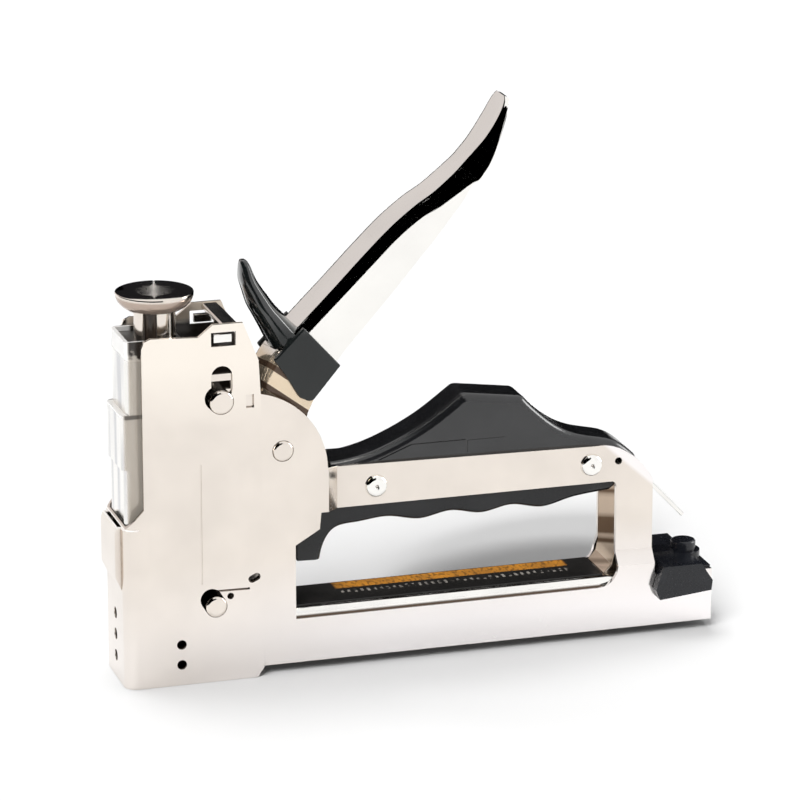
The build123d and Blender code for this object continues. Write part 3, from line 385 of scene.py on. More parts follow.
def inside_shade_mask(half):
    """A maker of masks: the surfaces of the head that lie within a half width, behind its front, where shade is
    painted.
    """
    def mask(tree):
        axes = axes_of(tree)
        return product(tree, span_of(tree, half_width(tree), half - 0.2 * MM, half, 1.0, 0.0),
                       span_of(tree, axes["Z"], 112.5 * MM, 114.5 * MM, 1.0, 0.0),
                       within(tree, axes["X"], behind(2.2), behind(48), 0.6 * MM))
    return mask


def wing_light_mask(tree):
    """Mask: the inner faces of the head's wings above the mechanism, painted lighter as painted light."""
    axes = axes_of(tree)
    return product(tree, span_of(tree, half_width(tree), 13.1 * MM, 13.3 * MM, 1.0, 0.0),
                   span_of(tree, axes["Z"], 113.0 * MM, 114.5 * MM), span_of(tree, axes["X"], behind(8), behind(9)))


def pale_reflection_mask(tree):
    """Mask: the low rear of the side plates, painted palest as a painted reflection."""
    axes = axes_of(tree)
    return product(tree, span_of(tree, axes["X"], behind(15), behind(90), 0.3, 1.0),
                   span_of(tree, axes["Z"], 12.0 * MM, 40.0 * MM, 1.0, 0.0))


def crown_reflection_mask(tree):
    """Mask: the top of the head, painted warm and bright as a painted reflection."""
    return span_of(tree, axes_of(tree)["Z"], 86.0 * MM, 106.0 * MM, 0.0, 0.85)


def seam_shade_mask(tree):
    """Mask: painted shade in the gap where the magazine cover drops between the side plates."""
    axes = axes_of(tree)
    return product(tree, span_of(tree, axes["Z"], 18.3 * MM, 18.9 * MM, 1.0, 0.0),
                   within(tree, axes["X"], behind(56), behind(168), 1.0 * MM))


def foot_mask(tree):
    """Mask: the handle below its guard."""
    axes = axes_of(tree)
    return product(tree, span_of(tree, axes["Z"], 104.0 * MM, 107.0 * MM, 1.0, 0.0),
                   span_of(tree, axes["X"], behind(64), behind(66), 1.0, 0.0))


def foot_line_mask(tree):
    """Mask: dark lines across the handle below its guard."""
    return product(tree, foot_mask(tree), span_of(tree, bands_of(tree, (0.6, 0.15, 0.8), 300.0), 0.55, 0.62))


def corner_highlight_mask(tree):
    """Mask: a painted highlight along the post's upper rear corner."""
    axes = axes_of(tree)
    start = spot(166.6, 61.6)
    reach = math_of(tree, product(tree, axes["X"], 0.667), product(tree, axes["Z"], 0.745))
    edge = start.x * 0.667 + start.z * 0.745
    return product(tree, span_of(tree, reach, edge, edge + 1.2 * MM), 0.9)


def brow_highlight_mask(tree):
    """Mask: the ledge and the upper edge of the folded front, painted pale as painted highlights."""
    axes = axes_of(tree)
    upper = product(tree, span_of(tree, axes["Z"], 108.0 * MM, 109.0 * MM),
                    span_of(tree, axes["X"], behind(8), behind(9), 1.0, 0.0))
    ledge = product(tree, within(tree, axes["Z"], 89.7 * MM, 90.9 * MM, 0.2 * MM),
                    span_of(tree, half_width(tree), 8.9 * MM, 9.6 * MM, 1.0, 0.0))
    return math_of(tree, upper, ledge, "MAXIMUM")


def nose_top_highlight_mask(tree):
    """Mask: the upper edge of the nose in front of the folded front, painted pale as a painted highlight."""
    axes = axes_of(tree)
    return product(tree, within(tree, axes["Z"], NOSE_TOP - 0.4 * MM, NOSE_TOP + 0.4 * MM, 0.2 * MM),
                   span_of(tree, axes["X"], behind(4), behind(5), 1.0, 0.0))


def notch_shade_mask(tree):
    """Mask: painted shade in the notch in the folded front's side walls beside its ledge."""
    axes = axes_of(tree)
    return product(tree, within(tree, axes["Z"], 88.9 * MM, 90.9 * MM, 0.5 * MM),
                   span_of(tree, half_width(tree), 9.6 * MM, 9.9 * MM),
                   span_of(tree, axes["X"], behind(6), behind(11), 0.8, 0.2))


def guide_mask(tree):
    """Mask: the worn pale top of the nose guide."""
    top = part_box("nose_guide")[1].z
    return span_of(tree, axes_of(tree)["Z"], top - 1.0 * MM, top - 0.5 * MM)


def fold_top_mask(tree):
    """Mask: a dark ragged band at the top of the folded front's side walls."""
    spots = noise_of(tree, object_coords(tree), 420.0, 2.0)
    ragged = math_of(tree, axes_of(tree)["Z"], product(tree, spots, 12.0 * MM))
    return product(tree, span_of(tree, ragged, 114.5 * MM, 117.0 * MM), span_of(tree, half_width(tree), *FOLD_WALL))


def under_shade_mask(tree):
    """Mask: the knob's underside, darkened as painted shade."""
    return span_of(tree, axes_of(tree)["Z"], 126.6 * MM, 127.4 * MM, 0.85, 0.0)


def flute_shade_mask(tree):
    """Mask: the floors of the flutes in the knob's stem, darkened as painted shade."""
    low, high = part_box("adjuster_screw")
    middle = (low + high) / 2
    axes = axes_of(tree)
    run = math_of(tree, axes["X"], middle.x, "SUBTRACT")
    rise = math_of(tree, axes["Y"], middle.y, "SUBTRACT")
    reach = math_of(tree, math_of(tree, product(tree, run, run), product(tree, rise, rise)), 0.5, "POWER")
    radius = (high.x - low.x) / 2
    return span_of(tree, reach, radius * 0.86, radius * 0.95, 1.0, 0.0)


def metal(name, tone, grime_and_shade, smooth, worn, cloud_scale=60.0, scratch_depth=0.25, tints=(), hollow_shade=0.9):
    """A plated or ground metal: faint clouds, brown grime that is also painted shade in corners, painted shade in
    hollows, varied gloss and hairlines.

    Each tint is a mask, its colour and how far it hides the metal.
    """
    if name in bpy.data.materials:
        return bpy.data.materials[name]
    material, tree, shader = new_material(name)
    wear = wear_in(tree, cloud_scale, 2600.0)
    dull = [channel * 0.92 for channel in tone[:3]] + [1.0]
    colour = blend_of(tree, span_of(tree, wear["Cloud"], 0.35, 0.7), tuple(tone), tuple(dull))
    bare = 1.0
    for mask_of, tint, cover in tints:
        mask = mask_of(tree)
        colour = blend_of(tree, mask, colour, tuple(tint))
        bare = math_of(tree, bare, product(tree, mask, cover), "SUBTRACT", True)
    fill(tree, shader.inputs["Metallic"], bare)
    # Painted shade: occluded corners blend towards the grime colour, as grime and shade at once, and occluded
    # hollows towards near black
    corner = product(tree, wear["Corner Grime And Shade"], span_of(tree, wear["Cloud"], 0.3, 0.7, 0.55, 1.0))
    colour = blend_of(tree, product(tree, corner, 0.75), colour, tuple(grime_and_shade))
    colour = blend_of(tree, product(tree, wear["Hollow Shade"], hollow_shade), colour, (0.035, 0.026, 0.02, 1.0))
    link(tree, colour, shader.inputs["Base Color"])
    gloss = span_of(tree, wear["Cloud"], 0.3, 0.72, smooth, worn)
    gloss = math_of(tree, gloss, product(tree, wear["Scratch"], 0.12))
    gloss = math_of(tree, gloss, product(tree, corner, 0.2), clamp=True)
    link(tree, gloss, shader.inputs["Roughness"])
    height = math_of(tree, product(tree, wear["Grain"], 0.1), product(tree, wear["Scratch"], -scratch_depth))
    height = math_of(tree, height, product(tree, wear["Cloud"], 0.9))
    raise_by(tree, shader, height, 0.03 * MM, 0.5)
    return material


def plastic(name, tone, smooth, worn, grain_scale=3400.0, grain_depth=0.05, specular=0.5, rub=1.0):
    """Moulded plastic: fine grain, lighter rubbed patches, dust in corners and varied gloss."""
    if name in bpy.data.materials:
        return bpy.data.materials[name]
    material, tree, shader = new_material(name)
    shader.inputs["Specular IOR Level"].default_value = specular
    wear = wear_in(tree, 90.0, grain_scale)
    rubbed = [min(1.0, channel * 1.9 + 0.006) for channel in tone[:3]] + [1.0]
    share = span_of(tree, wear["Cloud"], 0.42, 0.75, 0.0, 0.7 * rub)
    share = math_of(tree, share, product(tree, wear["Scratch"], 0.5 * rub), clamp=True)
    colour = blend_of(tree, share, tuple(tone), tuple(rubbed))
    dust = product(tree, wear["Corner Grime And Shade"], wear["Grain"], 0.25)
    colour = blend_of(tree, dust, colour, (0.16, 0.15, 0.14, 1.0))
    link(tree, colour, shader.inputs["Base Color"])
    gloss = span_of(tree, wear["Cloud"], 0.3, 0.7, worn, smooth)
    gloss = math_of(tree, gloss, span_of(tree, wear["Grain"], 0.3, 0.7, -0.05, 0.06), clamp=True)
    link(tree, gloss, shader.inputs["Roughness"])
    height = math_of(tree, wear["Grain"], product(tree, wear["Scratch"], -0.5))
    raise_by(tree, shader, height, grain_depth * MM, 0.6)
    return material


def guard_plastic(tones):
    """Smooth plastic of the hand guard, with a glossier tongue."""
    material = plastic("Guard Plastic", tones.guard, 0.1, 0.18, 2600.0, 0.008, specular=0.5, rub=0.4)
    tree = material.node_tree
    tongue = span_of(tree, axes_of(tree)["Z"], 112.0 * MM, 117.0 * MM)
    link(tree, tongue, tree.nodes["Principled BSDF"].inputs["Coat Weight"])
    return material


def turned_metal(tones):
    """Plated metal turned on a lathe, whose fine rings stretch its highlights outward from the axis."""
    # The knob's underside is darkened as painted shade
    material = metal("Turned Nickel", tones.plating, tones.grime_and_shade, 0.05, 0.07,
                     tints=((under_shade_mask, (0.40, 0.30, 0.24, 1.0), 0.5),))
    tree = material.node_tree
    shader = tree.nodes["Principled BSDF"]
    shader.inputs["Anisotropic"].default_value = 0.5
    shader.inputs["Anisotropic Rotation"].default_value = 0.25
    tangent = tree.nodes.new("ShaderNodeTangent")
    tangent.direction_type = "RADIAL"
    tangent.axis = "Z"
    link(tree, tangent.outputs[0], shader.inputs["Tangent"])
    tree.nodes["Bump"].inputs["Strength"].default_value = 0.08
    return material


def web_metal(tones):
    """Steel of the web with bands of painted reflection, brown in its gloss too."""
    material = metal("Rear Web", (0.62, 0.52, 0.42, 1.0), tones.grime_and_shade, 0.16, 0.26, hollow_shade=0.3,
                     tints=((band_reflection_mask, (0.08, 0.05, 0.03, 1.0), 0.0),))
    shader = material.node_tree.nodes["Principled BSDF"]
    shader.inputs["Specular Tint"].default_value = (0.75, 0.65, 0.58, 1.0)
    return material


def strip_film(tones):
    """Black film with a coloured band along its far half and a row of plain marks along its near half."""
    material, tree, shader = new_material("Strip Film")
    wear = wear_in(tree, 140.0, 3000.0)
    axes = axes_of(tree)
    run = within(tree, axes["X"], behind(74), behind(154.5), 1.0 * MM)
    flecks = noise_of(tree, object_coords(tree, (900.0, 420.0, 1.0)), 1.0, 1.0)
    band = product(tree, run, within(tree, axes["Y"], 2.2 * MM, 8.5 * MM, 0.4 * MM),
                   span_of(tree, wear["Cloud"], 0.35, 0.62, 1.0, 0.62), span_of(tree, flecks, 0.36, 0.5, 0.45, 1.0))
    colour = blend_of(tree, band, tuple(tones.film), tuple(tones.band))
    step = math_of(tree, axes["X"], 1.1 * MM, "PINGPONG")
    specks = noise_of(tree, object_coords(tree), 520.0, 1.0)
    mark = product(tree, span_of(tree, step, 0.55 * MM, 0.7 * MM), run,
                   within(tree, axes["Y"], -2.6 * MM, 0.4 * MM, 0.3 * MM), span_of(tree, specks, 0.42, 0.6), 0.6)
    colour = blend_of(tree, mark, colour, (0.6, 0.56, 0.5, 1.0))
    link(tree, colour, shader.inputs["Base Color"])
    link(tree, span_of(tree, wear["Cloud"], 0.3, 0.7, 0.3, 0.48), shader.inputs["Roughness"])
    raise_by(tree, shader, wear["Grain"], 0.01 * MM, 0.4)
    return material


def finish_of(context, name):
    """The material of a named finish, built on first use."""
    tones = context.scene.stapler_colours
    plating, bright, grime_and_shade, inside = tones.plating, tones.bright, tones.grime_and_shade, tones.inside
    recipes = {
        "plated": lambda: metal("Plated Nickel", plating, grime_and_shade, 0.10, 0.18),
        # Painted light on the head: a pale low rear and a bright top as painted reflections, painted shade inside,
        # and lighter inner wing faces and nose top edge as painted light
        "housing": lambda: metal(
            "Head Nickel", plating, grime_and_shade, 0.10, 0.18, hollow_shade=0.25,
            tints=((pale_reflection_mask, tones.pale, 0.0), (crown_reflection_mask, tones.crown_reflection, 0.0),
                   (inside_shade_mask(13.3 * MM), inside, 0.7), (wing_light_mask, (0.83, 0.72, 0.6, 1.0), 0.9),
                   (nose_top_highlight_mask, (0.9, 0.86, 0.82, 1.0), 0.9))),
        # Painted light on the plates: a pale low rear as painted reflection, a painted highlight on the post's
        # corner, and painted shade inside the head
        "plate": lambda: metal(
            "Plate Nickel", plating, grime_and_shade, 0.10, 0.18,
            tints=((pale_reflection_mask, tones.pale, 0.0), (corner_highlight_mask, tones.pale, 0.0),
                   (inside_shade_mask(11.7 * MM), inside, 0.7))),
        # The cover gets painted shade at its gap to the side plates
        "cover": lambda: metal("Cover Nickel", bright, grime_and_shade, 0.10, 0.18, tints=((seam_shade_mask, tones.seam_shade, 0.6),)),
        "bright": lambda: metal("Bright Nickel", bright, grime_and_shade, 0.06, 0.12, 40.0, 0.15),
        "handle": lambda: metal(
            "Handle Nickel", bright, grime_and_shade, 0.05, 0.10, 40.0, 0.15,
            tints=((foot_mask, (0.80, 0.66, 0.49, 1.0), 0.25), (foot_line_mask, (0.09, 0.055, 0.035, 1.0), 0.5))),
        # The folded front gets painted reflection streaks, painted highlights on its ledge and top edge, painted
        # shade and reflection on its side walls, painted shade in its notch and a dark band along the top of its
        # side walls
        "folded": lambda: metal(
            "Folded Front", bright, tones.fold_shade_and_reflection, 0.12, 0.22, hollow_shade=0.15,
            tints=((streak_reflection_mask, (0.5, 0.5, 0.53, 1.0), 0.0), (brow_highlight_mask, (0.92, 0.91, 0.89, 1.0), 0.9),
                   (fold_shade_mask, tones.fold_shade_and_reflection, 0.85), (fold_top_mask, inside, 0.9), (notch_shade_mask, inside, 0.8))),
        # The stem's flute floors are darkened as painted shade
        "fluted": lambda: metal("Fluted Stem", plating, grime_and_shade, 0.10, 0.18, hollow_shade=0.3,
                                tints=((flute_shade_mask, inside, 0.7),)),
        "web": lambda: web_metal(tones),
        "turned": lambda: turned_metal(tones),
        "steel": lambda: metal("Ground Steel", tones.steel, grime_and_shade, 0.28, 0.42, 120.0, 0.5),
        "guide": lambda: metal("Nose Guide", inside, inside, 0.3, 0.45, 120.0, 0.5,
                               tints=((guide_mask, (0.62, 0.55, 0.48, 1.0), 0.9),)),
        "spring": lambda: metal("Spring Wire", (0.36, 0.35, 0.35, 1.0), grime_and_shade, 0.22, 0.36, 200.0, 0.3),
        "bronze": lambda: metal("Bush Bronze", (0.55, 0.36, 0.17, 1.0), grime_and_shade, 0.25, 0.4, 150.0, 0.4),
        "palm_grip": lambda: plastic("Palm Plastic", tones.grip, 0.15, 0.22, grain_depth=0.015, specular=0.8),
        "finger_grip": lambda: plastic("Finger Plastic", tones.grip, 0.18, 0.26, grain_depth=0.02, specular=0.45),
        "pull": lambda: plastic("Pull Plastic", (0.006, 0.0068, 0.0095, 1.0), 0.16, 0.3, 1500.0, 0.07,
                                specular=0.48, rub=1.3),
        "guard": lambda: guard_plastic(tones),
        "rubber": lambda: plastic("Bumper Rubber", (0.03, 0.03, 0.03, 1.0), 0.6, 0.75, 1800.0, 0.08),
        "film": lambda: strip_film(tones),
    }
    return recipes[name]()


# Helpers for modelling


def deselect():
    """Leave edit mode and clear the selection."""
    if bpy.context.object is not None and bpy.context.object.mode != "OBJECT":
        bpy.ops.object.mode_set(mode="OBJECT")
    bpy.ops.object.select_all(action="DESELECT")


def take(piece):
    """Make one object the only selected and active one."""
    deselect()
    piece.select_set(True)
    bpy.context.view_layer.objects.active = piece


def edit_all(piece):
    """Open a piece in edit mode with everything selected."""
    take(piece)
    bpy.ops.object.mode_set(mode="EDIT")
    bpy.ops.mesh.select_all(action="SELECT")


def edit_where(piece, test):
    """Open a piece in edit mode with the vertices selected that pass a test of their place."""
    edit_all(piece)
    bpy.ops.mesh.select_mode(type="VERT")
    bpy.ops.mesh.select_all(action="DESELECT")
    bpy.ops.object.mode_set(mode="OBJECT")
    for vertex in piece.data.vertices:
        vertex.select = test(vertex.co)
    bpy.ops.object.mode_set(mode="EDIT")


def close_edit():
    """Back to object mode."""
    bpy.ops.object.mode_set(mode="OBJECT")


def cad_copy(name, node_name):
    """A merged, flat-faced copy of a CAD node's mesh as a new piece."""
    piece = bpy.data.objects.new(name, NODES[node_name].data.copy())
    bpy.context.scene.collection.objects.link(piece)
    piece.data.materials.clear()
    edit_all(piece)
    bpy.ops.mesh.customdata_custom_splitnormals_clear()
    bpy.ops.mesh.remove_doubles(threshold=0.002 * MM)
    bpy.ops.mesh.dissolve_limited(angle_limit=math.radians(0.4))
    close_edit()
    return piece


def apply_modifier(piece, kind, **values):
    """Add a modifier, set it up and apply it."""
    take(piece)
    made = piece.modifiers.new(kind.title(), kind)
    for name, value in values.items():
        setattr(made, name, value)
    bpy.ops.object.modifier_apply(modifier=made.name)


def soften(piece, width, segments=2, angle=28.0):
    """Round a piece's sharp edges and shade it smoothly."""
    apply_modifier(piece, "BEVEL", width=width, segments=segments, limit_method="ANGLE",
                   angle_limit=math.radians(angle), miter_outer="MITER_ARC", use_clamp_overlap=True)
    take(piece)
    bpy.ops.object.shade_smooth_by_angle(angle=math.radians(32.0))
    apply_modifier(piece, "WEIGHTED_NORMAL", keep_sharp=True, weight=80)


def cut_away(piece, place, normal):
    """Cut a piece at a plane, close the cut and drop what lies beyond it."""
    edit_all(piece)
    bpy.ops.mesh.bisect(plane_co=place, plane_no=normal, use_fill=True, clear_outer=True)
    close_edit()


def join(piece, *others):
    """Join other meshes into a piece."""
    take(piece)
    for other in others:
        other.select_set(True)
    bpy.ops.object.join()


def smooth_rows(rows, steps):
    """Rows of numbers between the given rows, on smooth curves through their values."""
    made = []
    last = len(rows) - 1
    for index in range(last):
        near = [rows[min(max(index + shift, 0), last)] for shift in (-1, 0, 1, 2)]
        for step in range(steps):
            t = step / steps
            made.append([b + 0.5 * t * (c - a + t * (2 * a - 5 * b + 4 * c - d + t * (3 * b - a - 3 * c + d)))
                         for a, b, c, d in zip(*near)])
    made.append(list(rows[last]))
    return made


def sheet_through(name, rows):
    """A grid whose rows of vertices are laid on the given rows of places."""
    deselect()
    bpy.ops.mesh.primitive_grid_add(x_subdivisions=len(rows[0]) - 1, y_subdivisions=len(rows) - 1, size=1.0)
    sheet = bpy.context.object
    sheet.name = name
    places = [place for row in rows for place in row]
    for vertex, place in zip(sheet.data.vertices, places, strict=True):
        vertex.co = place
    return sheet


def lathe(name, centre, axis, first, profile, steps):
    """A round piece: a line of points, each a radius and a distance along the axis, spun about it."""
    deselect()
    bpy.ops.mesh.primitive_plane_add(size=1.0)
    piece = bpy.context.object
    piece.name = name
    edit_all(piece)
    bpy.ops.mesh.merge(type="CENTER")
    places = [centre + first * radius + axis * along for radius, along in profile]
    bpy.ops.transform.translate(value=places[0])
    for before, after in zip(places, places[1:]):
        bpy.ops.mesh.extrude_region_move(TRANSFORM_OT_translate={"value": after - before})
    bpy.ops.mesh.select_all(action="SELECT")
    bpy.ops.mesh.spin(steps=steps, angle=math.tau, center=centre, axis=axis)
    bpy.ops.mesh.select_all(action="SELECT")
    bpy.ops.mesh.remove_doubles(threshold=0.001 * MM)
    bpy.ops.mesh.normals_make_consistent(inside=False)
    close_edit()
    return piece


def settle(context, piece, finish, body, slot, *nodes):
    """Give a finished piece its material and body, and hide the CAD nodes it stands for; its slot is not used."""
    piece.data.materials.clear()
    piece.data.materials.append(finish_of(context, finish))
    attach(piece, body)
    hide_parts(*nodes)
    deselect()


# Pieces


class STAPLER_OT_sheet_metal(bpy.types.Operator):
    """Plated sheet metal of the head, rail, post and magazine."""

    bl_idname = "stapler.sheet_metal"
    bl_label = "Sheet Metal"
    bl_options = {"REGISTER", "UNDO"}

    finishes = {"nose_housing": "housing", "side_plate_near": "plate", "side_plate_far": "plate",
                "front_channel": "folded", "top_bar": "plated", "rear_web": "web", "rear_strap": "bright",
                "magazine_cover": "cover", "nose_shoe": "plated"}
    head_half = 14.0 * MM
    swell_share = 0.3
    strap_tilt = math.radians(5.0)
    # A bridge tab in millimetres: side-view place, distance from the middle, and length, thickness and height
    tab_place = (33.2, 114.3)
    tab_out = 12.4
    tab_size = (6.0, 1.6, 2.7)
    tab_round = 0.3 * MM

    def execute(self, context):
        for name, finish in self.finishes.items():
            piece = cad_copy(f"plated_{name}", name)
            if name == "nose_housing":
                self.calm_swells(piece)
            if name == "rear_strap":
                self.tilt(piece)
            soften(piece, context.scene.stapler_sizes.edge_round)
            settle(context, piece, finish, "frame", "plated_steel", name)
        self.make_tabs(context)
        return {"FINISHED"}

    def calm_swells(self, piece):
        """Press the swellings beside the nose down to a shallow curve."""
        for side in (-1, 1):
            edit_where(piece, lambda place: side * place.y > self.head_half + 0.02 * MM)
            bpy.ops.transform.resize(value=(1.0, self.swell_share, 1.0),
                                     center_override=(0.0, side * self.head_half, 0.0))
            close_edit()

    def tilt(self, piece):
        """Let the strap's near edge hang a little lower than its far one."""
        low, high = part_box("rear_strap")
        edit_all(piece)
        bpy.ops.transform.rotate(value=-self.strap_tilt, orient_axis="X", orient_type="GLOBAL",
                                 center_override=(low.x, 0.0, high.z))
        close_edit()

    def make_tabs(self, context):
        """The ends of the bridge that show in the head's windows."""
        for name, side in (("near", -1), ("far", 1)):
            deselect()
            bpy.ops.mesh.primitive_cube_add(size=1.0, location=spot(*self.tab_place, side * self.tab_out))
            tab = context.object
            tab.name = f"plated_bridge_tab_{name}"
            bpy.ops.transform.resize(value=Vector(self.tab_size) * MM)
            bpy.ops.object.transform_apply(location=True, rotation=True, scale=True)
            soften(tab, self.tab_round)
            settle(context, tab, "bright", "frame", "plated_steel")


class STAPLER_OT_handle(bpy.types.Operator):
    """Lever handle: a folded channel whose back rolls down to a leaning facet on each side."""

    bl_idname = "stapler.handle"
    bl_label = "Handle"
    bl_options = {"REGISTER", "UNDO"}

    # Along the handle: back x and z, lower edge x and z, depth of the facet, and width taken off the half
    stations = [
        (55.5, 110.3, 67.9, 97.2, 3.6, 0.0), (63, 117.8, 74.2, 105.4, 3.7, 0.0),
        (72, 126.7, 82.3, 114.5, 3.8, 0.0), (81.5, 136.3, 91, 124.3, 4.0, 0.0),
        (90, 144.4, 98.5, 133.1, 3.9, 0.0), (98, 150.7, 104.3, 139.8, 4.0, 0.0),
        (104, 154.5, 108.9, 145.6, 4.5, 0.0), (109, 158.4, 113.6, 151.5, 5.0, 0.0),
        (112.5, 161.4, 117, 156.9, 5.7, 0.0), (114.7, 163.5, 119.3, 158.1, 6.9, 0.0),
        (116.5, 165.4, 120.9, 160.1, 6.6, 0.0), (119, 168.1, 123, 163.3, 6.0, 0.0),
        (121.7, 171.4, 125.1, 168.2, 4.4, 0.1), (123.9, 174.6, 126.6, 173, 3.0, 0.4),
        (126, 178, 127.9, 176.9, 2.1, 0.9), (127.5, 180.8, 129, 179.9, 1.6, 1.6),
        (128.5, 182.9, 129.9, 182.1, 1.5, 2.8), (128.9, 184, 130.3, 183.3, 1.4, 4.4),
    ]
    crease = 0.35
    bend = ((0.0, 0.95), (0.15, 0.55), (0.35, 0.33), (0.8, 0.14), (1.3, 0.045), (1.9, 0.0))
    full_facet = 2.2
    row_steps = 6

    def half_section(self, half, depth, facet, lean):
        """Half of the outline across the handle: distances from the middle and below the back."""
        facet = min(facet, depth * 0.95)
        share = min(1.0, facet / self.full_facet)
        crease = self.crease * share
        bend = [(inward * share, below * share) for inward, below in self.bend]
        foot = half - 0.12 * share
        run = facet - crease - bend[0][1]
        head = foot - run * math.tan(lean)
        wall = [(half, depth), (half, (depth + facet) / 2), (half, facet + (depth - facet) * 0.1),
                (half - 0.02 * share, facet), (foot, facet - crease)]
        slope = [(foot + (head - foot) * part, facet - crease - run * part) for part in (0.3, 0.65)]
        top = [(head - inward, below) for inward, below in bend]
        return wall + slope + top + [(top[-1][0] * part, 0.0) for part in (0.6, 0.25)]

    def execute(self, context):
        sizes = context.scene.stapler_sizes
        rows = []
        for back_x, back_z, edge_x, edge_z, facet, narrow in smooth_rows(self.stations, self.row_steps):
            depth = math.hypot(edge_x - back_x, edge_z - back_z)
            way = ((edge_x - back_x) / depth, (edge_z - back_z) / depth)
            half = self.half_section(sizes.handle_half / MM - narrow, depth, facet, sizes.facet_lean)
            across = [(-u, w) for u, w in half] + [(u, w) for u, w in reversed(half)]
            rows.append([spot(back_x + way[0] * w, back_z + way[1] * w, u) for u, w in across])
        piece = sheet_through("plated_handle", rows)
        middle = piece.data.polygons[len(piece.data.polygons) // 2 + len(rows[0]) // 2]
        if middle.normal.z < 0:
            edit_all(piece)
            bpy.ops.mesh.flip_normals()
            close_edit()
        apply_modifier(piece, "SOLIDIFY", thickness=sizes.handle_sheet, offset=-1.0)
        lower = cad_copy("handle_lower_end", "handle_lever")
        start, end = self.stations[0][0:2], self.stations[0][2:4]
        cut_away(lower, spot(*start), Vector((start[1] - end[1], 0.0, end[0] - start[0])))
        join(piece, lower)
        soften(piece, sizes.edge_round)
        settle(context, piece, "handle", "handle", "plated_steel", "handle_lever")
        return {"FINISHED"}


class STAPLER_OT_guard(bpy.types.Operator):
    """Moulded hand guard: a sleeve round the handle with a finger tongue that swells from its tip."""

    bl_idname = "stapler.guard"
    bl_label = "Hand Guard"
    bl_options = {"REGISTER", "UNDO"}

    # Down the tongue: height, middle x, half thickness and half width
    tongue = [(136, 43.5, 0.02, 0.02), (135.7, 43.5, 0.95, 1.9), (134.6, 43.8, 1.5, 3), (133, 44.1, 1.9, 3.8),
              (131, 44.45, 2.3, 4.5), (129, 45, 2.7, 5.2), (127, 45.9, 3.05, 5.8), (124.8, 47, 3.45, 6.4),
              (120.7, 49.1, 4.25, 7.5), (117, 51.7, 4.95, 8.3), (112, 55.2, 5.9, 9.4), (107, 58.6, 6.9, 10),
              (102, 61.8, 7.6, 10)]
    sleeve_top = ((50.6, 104.8), (60.4, 114.9))
    back_line = ((53.4, 108.0), (61.2, 115.4))
    ring_count = 40
    squareness = 0.82
    sleeve_round = 1.1 * MM
    voxel = 0.3 * MM
    smooth_rounds = 12

    def execute(self, context):
        rows = []
        for z, x, thick, wide in smooth_rows(self.tongue, 5):
            row = []
            for index in range(self.ring_count + 1):
                turn = math.tau * index / self.ring_count
                run, rise = math.cos(turn), math.sin(turn)
                row.append(spot(x + thick * math.copysign(abs(run) ** self.squareness, run), z,
                                wide * math.copysign(abs(rise) ** self.squareness, rise)))
            rows.append(row)
        tongue = sheet_through("guard_tongue", rows)
        edit_all(tongue)
        bpy.ops.mesh.remove_doubles(threshold=0.05 * MM)
        bpy.ops.mesh.normals_make_consistent(inside=False)
        close_edit()
        (low_x, low_z), (high_x, high_z) = self.back_line
        cut_away(tongue, spot(low_x, low_z), Vector((high_z - low_z, 0.0, low_x - high_x)))
        piece = cad_copy("moulded_guard", "hand_guard")
        (low_x, low_z), (high_x, high_z) = self.sleeve_top
        cut_away(piece, spot(low_x, low_z), Vector((low_z - high_z, 0.0, high_x - low_x)))
        apply_modifier(piece, "BEVEL", width=self.sleeve_round, segments=3, limit_method="ANGLE",
                       angle_limit=math.radians(40.0), use_clamp_overlap=True)
        join(piece, tongue)
        apply_modifier(piece, "REMESH", mode="VOXEL", voxel_size=self.voxel)
        apply_modifier(piece, "SMOOTH", factor=0.5, iterations=self.smooth_rounds)
        take(piece)
        bpy.ops.object.shade_smooth()
        settle(context, piece, "guard", "handle", "guard_plastic", "hand_guard")
        return {"FINISHED"}


class STAPLER_OT_knob(bpy.types.Operator):
    """Turned power knob on its fluted stem."""

    bl_idname = "stapler.knob"
    bl_label = "Power Knob"
    bl_options = {"REGISTER", "UNDO"}

    # From the middle of the top to the stem: radius, and depth below the top
    profile = ((0.0, 0.0), (6.0, 0.0), (12.1, 0.0), (12.38, 0.12), (12.5, 0.45), (12.4, 1.5), (11.8, 3.0),
               (10.6, 4.4), (9.0, 5.4), (7.4, 5.9), (6.4, 6.0))
    flute_share = 0.42
    flute_waist = 0.76
    flute_turn = math.radians(61.0)
    stem_round = 0.25 * MM

    def execute(self, context):
        sizes = context.scene.stapler_sizes
        low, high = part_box("power_knob")
        line = [(radius * MM, -depth * MM) for radius, depth in self.profile]
        piece = lathe("turned_power_knob", Vector(((low.x + high.x) / 2, (low.y + high.y) / 2, high.z)),
                      Vector((0.0, 0.0, 1.0)), Vector((1.0, 0.0, 0.0)), line, 96)
        take(piece)
        bpy.ops.object.shade_smooth_by_angle(angle=math.radians(32.0))
        settle(context, piece, "turned", "knob", "plated_steel", "power_knob")
        low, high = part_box("adjuster_screw")
        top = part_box("power_knob")[0].z
        middle = (low + high) / 2
        radius = (high.x - low.x) / 2
        deselect()
        bpy.ops.mesh.primitive_cylinder_add(vertices=sizes.flute_count * 24, radius=radius, depth=top - low.z,
                                            location=(middle.x, middle.y, (low.z + top) / 2))
        stem = context.object
        stem.name = "turned_adjuster_screw"
        bpy.ops.object.transform_apply(location=True, rotation=True, scale=True)
        pitch = math.tau / sizes.flute_count

        def in_flute(place):
            turn = math.atan2(place.y - middle.y, place.x - middle.x) - self.flute_turn
            return abs((turn + pitch / 2) % pitch - pitch / 2) < pitch * self.flute_share / 2

        edit_where(stem, in_flute)
        bpy.ops.transform.resize(value=(self.flute_waist, self.flute_waist, 1.0), center_override=middle)
        close_edit()
        soften(stem, self.stem_round)
        settle(context, stem, "fluted", "knob", "plated_steel", "adjuster_screw")
        return {"FINISHED"}


